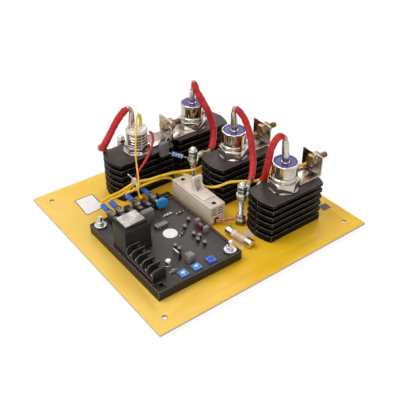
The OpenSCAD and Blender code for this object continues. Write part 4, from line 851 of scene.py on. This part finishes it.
def run_leads():
    for letter, (sleeve, bare, lug, radius, peek, pinches) in LEADS.items():
        route = smooth_route(sleeve, 0.9)
        foot, start, end = Vector(PIPE_TIP[letter]), route[0], route[-1]
        out = (route[2] - start).normalized()
        neck = smooth_route([foot - Vector((0, 0, 1.1)), foot + Vector((0, 0, 1.2)), start - peek * out,
                             start + 1.8 * out], 0.6)
        last = (end - route[-3]).normalized()
        tail = smooth_route([end - 2 * last, end + 1.2 * last] + bare
                            + [lug_mouth(*lug, 18.9), lug_mouth(*lug, 15.6)], 0.7)
        cloth = swept(route, radius, 28, wrinkled(length_of(route), pinches))
        # The flat ends closing the sleeve take finish number 2, near-black red: painted shade inside its open mouths.
        shapes = [paint(cloth, 2, lambda face: len(face.verts) > 4)]
        shapes += [paint(shape, 1) for shape in strands_along(neck, 2.3, 7, 14) + strands_along(tail, 2.5, 8, 16)]
        settle("red_sleeved_lead_" + letter, shapes, [RED_SLEEVE, BRAID, SLEEVE_MOUTH_SHADE], "red_lead_" + letter,
               smooth=60)
    dress("crimped_lugs", "lead_lugs", 0.25, TINNED_LUG)


run_leads()

# Control wires: their radii, where the first one is bare, and how far the tie hangs below its solid
WIRE_R, GATE_R, GATE_SLEEVE_R, RED_R, COPPER_R = 1.65, 1.0, 2.0, 1.6, 1.1
BARE_PAST_X = 107
COPPER_APART = 1.2
TIE_DROP = 4.8
WIRE_C = [(110.1, 19.763, 58.237), (110.1, 21.672, 56.328), (109.3, 25.2, 54.8), (106.6, 29.6, 54.2), (102, 33, 52),
          (96, 33.8, 49.4), (75, 33.8, 44.5), (50, 33.8, 36.6), (40, 34.6, 31.6), (33, 35.2, 29.6),
          (25.5, 36.8, 28.4), (15.4, 44.6, 26.2), (1, 47.2, 27.8), (-15.5, 49.6, 28.6), (-28, 51.8, 28),
          (-40, 54.8, 28.6), (-48, 55.9, 28.6), (-57, 57.6, 25), (-66, 58.6, 22), (-76, 59.4, 20.8),
          (-86, 59.4, 19), (-91.6, 57.8, 18.2), (-93.5, 54.4, 18), (-93.5, 45.3, 18)]
WIRE_D = [(110.1, -66.237, 58.237), (110.1, -64.328, 56.328), (108.6, -62.6, 55), (104, -62, 54.8),
          (98, -59.6, 54.4), (91, -55.6, 52.4), (80, -51, 47.6), (68, -46, 43.4), (57.4, -39.4, 40.6),
          (45, -28, 38.6), (36, -19.4, 36.4), (28.4, -13.6, 32), (23, -6.6, 28), (19.8, 3, 24.6), (19.6, 12, 22),
          (19.8, 32, 21.6), (17.2, 42, 22.4), (8, 48.4, 24.8), (0, 49.9, 26.4), (-15.5, 51.9, 26.6),
          (-28, 54.6, 25.8), (-40, 57, 25.2), (-48, 57.6, 25.2), (-56, 57, 22), (-66, 56, 19.4), (-76, 56.8, 18.2),
          (-81.4, 55.6, 18), (-82.5, 53.2, 18), (-82.5, 45.3, 18)]
WIRE_FUSE = [(7.5, 36.2, 5.8), (7.5, 40.4, 6.2), (5, 44, 12), (0, 46.6, 20), (-8, 48.6, 24), (-15.5, 49.4, 25.2),
             (-28, 50.8, 24.6), (-40, 51.4, 24), (-48, 51.4, 23.6), (-53, 52.4, 21.6), (-58, 55, 19.6),
             (-60.2, 54.8, 18.2), (-60.5, 52.8, 18), (-60.5, 45.3, 18)]
GATE_SLEEVE = [(-15.5, 86.5, 81.1), (-15.5, 86.5, 84.5), (-15.5, 86.5, 87.2), (-15.6, 86.4, 90), (-17, 85.4, 95.6),
               (-18.6, 84.4, 98)]
GATE = [(-17.6, 85, 96.8), (-19.8, 83.6, 98.6), (-22.4, 82, 96.6), (-24.2, 80.8, 92), (-27, 77.8, 87.2),
        (-31.8, 72.2, 74), (-37.6, 65, 58.5), (-41.4, 57.4, 46), (-44.6, 50.6, 38), (-47, 46.2, 31.6),
        (-49, 45, 25), (-49.5, 42.6, 19.6), (-49.5, 40, 18.2), (-49.5, 36.5, 18)]
RED = [(-5.6, 84.5, 69), (-3.6, 83.8, 69.2), (-3, 80.8, 66), (-6, 76, 60.8), (-15.5, 67.6, 56.4), (-24, 63.4, 50),
       (-32, 62.6, 42.4), (-38.4, 62.2, 35.4), (-41, 61.4, 28), (-40.4, 59.4, 21.4), (-38.8, 56.4, 18.4),
       (-38.5, 53.4, 18), (-38.5, 45.3, 18)]
COPPER_RUN = [(4.5, -32.3, 5.8), (4.5, -37, 5.9), (8.5, -40.6, 6), (14.5, -43.6, 6.4), (21.8, -47.8, 7.3)]


def run_wires():
    wires = [swept(smooth_route(points, 1.0), WIRE_R, 14) for points in (WIRE_C, WIRE_D, WIRE_FUSE)]
    paint(wires[0], 1, lambda face: face.calc_center_median().x > BARE_PAST_X)
    settle("yellow_control_wires", wires, [YELLOW_WIRE, TINNED_LUG], "control_wires", smooth=70)
    sleeve = swept(smooth_route(GATE_SLEEVE, 0.6), GATE_SLEEVE_R, 16)
    gate = paint(swept(smooth_route(GATE, 0.8), GATE_R, 12), 1)
    settle("yellow_gate_wire", [sleeve, gate], [YELLOW_SLEEVE, YELLOW_WIRE], "gate_wire", smooth=70)
    settle("thin_red_wire", [swept(smooth_route(RED, 0.9), RED_R, 14)], [RED_WIRE], "red_wire", smooth=70)
    bare = []
    for lift in (-COPPER_APART, COPPER_APART):
        bare += strands_along(smooth_route([(x, y, z + lift) for x, y, z in COPPER_RUN], 0.6), COPPER_R, 6, 7)
    settle("twisted_copper_wires", bare, [COPPER], "copper_wires", smooth=70)
    settle("nylon_tie", [moved(softened("cable_tie", 0.25), (0, 0, -TIE_DROP))], [NYLON], "cable_tie")


run_wires()

# Snubber: dipped capacitor, banded resistor between two ends, and their leads
RESISTOR_ENDS = (5.9, 60.4, 48.1), (25.0, 48.1, 39.8)
SNUBBER_TOP = [(3, 62, 63.4), (3, 62, 65.6), (5.6, 63.6, 66.4), (12, 67.4, 65.6), (18.6, 71.4, 65),
               (20.5, 73.53, 65.55), (21.1, 75.13, 66.55)]


def dog_bone(share, turn):
    """The share of the resistor's radius: a slim waist and rounded ends."""
    return 1.0 - 0.10 * max(0.0, 1 - abs(share - 0.5) / 0.33) - 0.55 * max(0.0, 1 - min(share, 1 - share) / 0.05) ** 2


def hang_snubber():
    case = soft_block((11, 6, 18), (0, 62, 55), 0.8, 3)
    near, far = (Vector(end) for end in RESISTOR_ENDS)
    ahead = (far - near).normalized()
    line = [near + ahead * k for k in (-0.8, 2, *range(4, 23, 3))] + [far]
    lead = paint(swept(line, 0.5, 10), 2)
    resistor = paint(swept([near + ahead * (3.3 + k * 0.5) for k in range(31)], 2.7, 28, dog_bone), 1)
    top = paint(swept(smooth_route(SNUBBER_TOP, 0.7), 0.5, 10), 2)
    settle("snubber_parts", [case, resistor, lead, top], [GREY_DIP, RESISTOR_BLUE, TINNED_LUG], "snubber", smooth=50)


hang_snubber()

# Fuse holder and fuse links
HOUSING_TOP = 25.0
GRIP_X, GRIP_WIDE, GRIP_BACK, GRIP_TOP = 8.1, 13.0, 9.0, 42.0
GRIP_LOW = HOUSING_TOP + 0.04
CHEEK_THICK = 1.9
FITTED_LINK, LOOSE_LINK = (6, 3, 13.6), (6.5, -74.2, 5.15)


def fuse_link_shapes():
    """A cylindrical link along Y about the origin: ceramic body, plated end caps with a rolled lip, one pale band."""
    body = turned([(0, -10.5), (4.75, -10.5), (4.75, 10.5), (0, 10.5)], 48)
    band = paint(turned([(4.74, 5.6), (4.80, 5.6), (4.80, 8.4), (4.74, 8.4)], 48, True), 2)
    caps = []
    for way in (0, 180):
        cap = turned([(0, 19), (4.2, 19), (4.85, 18.7), (5.12, 18.1), (5.15, 17.4), (5.15, 11.6), (5.05, 11.3),
                      (5.15, 10.9), (5.15, 10.2), (5.0, 10), (0, 10)], 48)
        caps.append(paint(moved(cap, turn=about("X", way)), 1))
    return [moved(shape, turn=TO_Y) for shape in [body, band] + caps]


def recessed(node):
    """A box-like solid with rounded edges; faces inside its outline, near its ends, are the insides of openings and
    take painted shade.
    """
    margin, end_depth = 0.2, 12
    bm = softened(node, 0.4)
    low = [min(v.co[k] for v in bm.verts) for k in range(3)]
    high = [max(v.co[k] for v in bm.verts) for k in range(3)]

    def in_opening(face):
        at = face.calc_center_median()
        inside = all(low[k] + margin < at[k] < high[k] - margin for k in range(3))
        return inside and min(at.y - low[1], high[1] - at.y) < end_depth

    return paint(bm, 1, in_opening)


def grip_cheek(x):
    """A side wall of the grip: upright at the top, then sloping down to the front pad."""
    bm = bmesh.new()
    back, top = GRIP_BACK - 2.2, GRIP_TOP - 0.2
    line = ((back, GRIP_LOW), (back, top), (4.8, top), (4.5, 33.0), (3.4, 30.6), (-1.0, GRIP_LOW + 1.0),
            (-1.0, GRIP_LOW))
    bm.faces.new([bm.verts.new((x, y, z)) for y, z in line])
    pull_out(bm, (CHEEK_THICK, 0, 0))
    round_off(bm, bm.edges[:], 0.35)
    return bm


def pull_grip():
    """The carrier's pull: ribbed back wall, two cheeks, a raised panel with an eye between them, a pad in front."""
    left, right = GRIP_X - GRIP_WIDE / 2, GRIP_X + GRIP_WIDE / 2
    wall = soft_block((GRIP_WIDE, 2.8, GRIP_TOP - GRIP_LOW), (GRIP_X, GRIP_BACK - 1.4, (GRIP_TOP + GRIP_LOW) / 2),
                      0.5, 3)
    root = soft_block((11.2, 2.0, 1.6), (7.5, GRIP_BACK - 1.5, HOUSING_TOP), 0.2)
    ribs = [soft_block((1.1, 2.6, 0.9), (left + 1.3 + k * 2.08, GRIP_BACK - 1.6, GRIP_TOP), 0.3) for k in range(6)]
    # The panel and the eye's rim take finish number 1, the pocket's painted shade.
    panel = paint(soft_block((6.4, 1.0, 13.4), (GRIP_X, 6.0, 32.0), 0.3), 1)
    eye = paint(turned([(0.8, 0), (1.5, 0), (1.5, 0.25), (1.3, 0.4), (1.0, 0.4), (0.8, 0.25)], 24, True), 1)
    # A thin dark disc inside the eye's rim: painted shade where the hole would be.
    hole_shade_disc = paint(turned([(0, 0), (0.85, 0), (0.85, 0.06), (0, 0.06)], 24), 2)
    ring = [moved(shape, (GRIP_X, 5.46, 36.4), about("X", 90)) for shape in (eye, hole_shade_disc)]
    pad = soft_block((15.0, 19.2, 1.9), (6.1, -8.4, 24.65), 0.3)
    flange = soft_block((4.6, 19.2, 0.54), (14.4, -8.4, 25.32), 0.2)
    return [wall, root, panel, pad, flange, grip_cheek(left), grip_cheek(right - CHEEK_THICK)] + ribs + ring


def fit_fuses():
    settle("fuse_housing", [recessed("fuse_base")], [CREAM, CREAM_OPENING_SHADE], "fuse_base")
    carrier = softened("fuse_carrier", 0.45)
    cut_off(carrier, (0, 0, HOUSING_TOP + 0.05), (0, 0, 1))
    close_up(carrier)
    settle("fuse_pull_carrier", [carrier] + pull_grip(), [CREAM_GRIP, CREAM_POCKET_SHADE, CREAM_OPENING_SHADE], "fuse_carrier")
    dress("fuse_spring_clips", "fuse_clips", 0.2, COPPER)
    for name, at, turn, node in (("fitted_fuse_link", FITTED_LINK, None, "fuse_link"),
                                 ("loose_fuse_link", LOOSE_LINK, about("Z", 7), "spare_fuse")):
        settle(name, [moved(shape, at, turn) for shape in fuse_link_shapes()],
               [LINK_CERAMIC, TINNED_LUG, LINK_BAND], node)


fit_fuses()

# Control module: places on it are measured from its middle
MODULE_X, MODULE_Y = -65.5, -31.0
RESIN_TOP = 10.5
TRIMMER_Y, DEEP_TRIMMER_FROM = -91.0, -56
PIN_PITCH = 2.54
TRANSISTORS = ((1, -21), (1.6, -28), (29, -16.8), (32.2, -23), (26.8, -27.4), (29.5, -36), (39.5, 7.4), (28.5, -0.6))
# Place, size and finish's number of the box-shaped capacitors
BOX_CAPACITORS = (((1, -46.5), (8.6, 8.6, 9), 1), ((44.5, -2), (6.4, 5, 7), 1), ((42.2, -10), (5, 8.4, 6.4), 2),
                  ((44, -18.4), (6.4, 5, 7), 1))
# Place, turn, length, width and finish's number of the axial parts
AXIAL_PARTS = (((27, 31), 0, 10, 2.6, 1), ((40.5, 26), 0, 6.5, 2.4, 2), ((-23.6, -51.4), 0, 5.4, 4, 3),
               ((19.5, -7), 25, 6.5, 2.4, 2))


def spot(dx, dy):
    return (MODULE_X + dx, MODULE_Y + dy)


def axial_shapes(at, degrees, length, width, body_number):
    """A small axial part: rounded body and a wire bent down into the resin at both ends."""
    up = RESIN_TOP + width / 2 + 0.3
    half = length / 2
    reach, down = half + 2.1, -up + RESIN_TOP - 0.3

    def rounded(share, turn):
        end = min(share, 1 - share) * length
        return math.sqrt(max(0.02, 1 - max(0.0, 1 - end / (0.32 * width)) ** 2))

    body = swept([Vector((-half + length * k / 28, 0, 0)) for k in range(29)], width / 2, 20, rounded)
    bends = [(-reach, 0, down), (-reach, 0, -0.9), (-reach + 0.9, 0, 0), (-half, 0, 0), (0, 0, 0), (half, 0, 0),
             (reach - 0.9, 0, 0), (reach, 0, -0.9), (reach, 0, down)]
    wire = swept(smooth_route(bends, 0.5), 0.4, 8)
    return [moved(shape, (*spot(*at), up), about("Z", degrees)) for shape in (paint(body, body_number), wire)]


def small_transistor(at):
    bm = turned([(0, 0), (2.7, 0), (2.7, 4.6), (2.3, 5.0), (0, 5.0)], 32)
    cut_off(bm, (0, -1.1, 0), (0, -1, 0))
    close_up(bm)
    # Its top face takes finish number 2, the painted sheen.
    return moved(paint(bm, 2, faces_up), (*spot(*at), RESIN_TOP), about("Z", 60))


def fill_tray():
    # The tray's and the barrier strip's rounded edges carry the painted highlight.
    dress("module_tray", "avr_tray", 0.5, BLACK_MOULDING, BLACK_EDGE_HIGHLIGHT)
    dress("module_resin", "avr_resin", 0.15, RESIN)
    lid = soft_block((26.6, 22.6, 3.3), (-98.9, -20.4, 44.8), 0.6, 3)
    settle("potted_transformer", [softened("transformer", 0.6, 3), lid], [BLACK_MOULDING], "transformer")
    dress("tab_strip", "spade_strip", 0.3, BLACK_MOULDING)
    dress("tab_blades", "spade_tabs", 0.2, DULL_SHELL_GLINTS)
    dress("receptacle_shells", "spade_shells", 0.35, DULL_SHELL_GLINTS)
    dress("receptacle_sleeves", "spade_sleeves", 0.3, BLUE_SLEEVE)
    dress("screw_barrier", "barrier_strip", 0.5, BLACK_MOULDING, BLACK_EDGE_HIGHLIGHT)
    dress("slotted_screws", "pan_screws", 0.35, ZINC)


def fit_trimmers():
    cases = paint(softened("trimmer_bodies", 0.25), 1, lambda face: face.calc_center_median().x > DEEP_TRIMMER_FROM)
    settle("trimmer_cases", [cases], [TRIMMER_BLUE, TRIMMER_DEEP], "trimmer_bodies")
    for letter, x, rim, middle in (("a", -82.5, BLUE_SLEEVE, PALE_ROTOR), ("b", -65.8, BLUE_SLEEVE, PALE_ROTOR),
                                   ("c", -47.0, DEEP_BLUE, DEEP_BLUE)):
        def near_axis(face):
            at = face.calc_center_median()
            return math.hypot(at.x - x, at.y - TRIMMER_Y) < 2.0

        rotor = paint(softened("trimmer_rotor_" + letter, 0.12), 1, near_axis)
        settle("rotor_" + letter, [rotor], [rim, middle], "trimmer_rotor_" + letter)


def plant_varistor():
    disc = turned([(0, -2.1), (4.5, -2.05), (6.3, -1.8), (7.05, -1.1), (7.3, 0), (7.05, 1.1), (6.3, 1.8), (4.5, 2.05),
                   (0, 2.1)], 48)
    moved(disc, (0, 0, 9.3), TO_Y)
    legs = [paint(swept([Vector((x, 0, z * 0.5 - 0.4)) for z in range(10)], 0.5, 10), 1) for x in (-3.75, 3.75)]
    settle("blue_disc_varistor", [moved(shape, (-37.2, 13.2, RESIN_TOP), about("Z", -12)) for shape in [disc] + legs],
           [DISC_BLUE, TINNED_LUG], "varistor")


def plant_chip():
    x, y = spot(9.3, 18.5)
    # The chip's top face takes finish number 2, the painted sheen.
    shapes = [paint(soft_block((15.5, 6.6, 3.4), (x, y, RESIN_TOP + 2.2), 0.35), 2, faces_up)]
    for k in range(6):
        for way in (-1, 1):
            foot = [(x + (k - 2.5) * PIN_PITCH, y + way * out, RESIN_TOP + up)
                    for out, up in ((3.1, 2.2), (3.7, 2.1), (3.95, 1.5), (3.95, -0.3))]
            shapes.append(paint(swept(smooth_route(foot, 0.35), 0.28, 8), 1))
    settle("driver_chip_body", shapes, [CHIP_BLACK, TINNED_LUG, CHIP_TOP_SHEEN], "driver_chip")


def plant_small_parts():
    dress("relay_case", "relay", 0.4, GREY_CASE, segments=3)
    can = turned([(0, 0), (3.4, 0), (3.4, 1), (3.1, 1.2), (3.1, 5.9), (2.9, 6.2), (3.1, 6.5), (3.0, 7.2), (2.6, 7.4),
                  (0, 7.4)], 48)
    caps = [moved(can, (*spot(-21.9, -39.5), RESIN_TOP))]
    for at, size, number in BOX_CAPACITORS:
        caps.append(paint(soft_block(size, (*spot(*at), RESIN_TOP + size[2] / 2), 0.6, 3), number))
    settle("module_capacitor_set", caps, [ZINC, GREY_CASE, DARK_RED], "module_capacitors")
    parts = [small_transistor(at) for at in TRANSISTORS]
    x, y = spot(-8.6, -35)
    parts.append(paint(soft_block((1.2, 9.5, 11), (x, y, RESIN_TOP + 5.5), 0.25), 1))
    parts.append(soft_block((3.6, 9.5, 8), (x + 2.5, y, RESIN_TOP + 4), 0.4))
    settle("transistor_set", parts, [CHIP_BLACK, ZINC, CHIP_TOP_SHEEN], "transistors")
    axial = [shape for part in AXIAL_PARTS for shape in axial_shapes(*part)]
    settle("axial_part_set", axial, [TINNED_LUG, PALE_BANDED, DARK_BANDED, TAN_BANDED], "axial_parts", smooth=60)


def stick_labels():
    sticker = turned([(0, RESIN_TOP), (8.2, RESIN_TOP), (8.2, RESIN_TOP + 0.12), (0, RESIN_TOP + 0.12)], 56)
    settle("round_blank_sticker", [moved(sticker, (-55.2, -28.4, 0))], [WHITE_LABEL])
    flat_patch("blank_transformer_label", [(-111.2, -10.6), (-111.1, -30.4), (-86.6, -28.6), (-87.2, -9.8)], 46.44,
               0.12, 0.4, FADED_LABEL)


fill_tray()
fit_trimmers()
plant_varistor()
plant_chip()
plant_small_parts()
stick_labels()
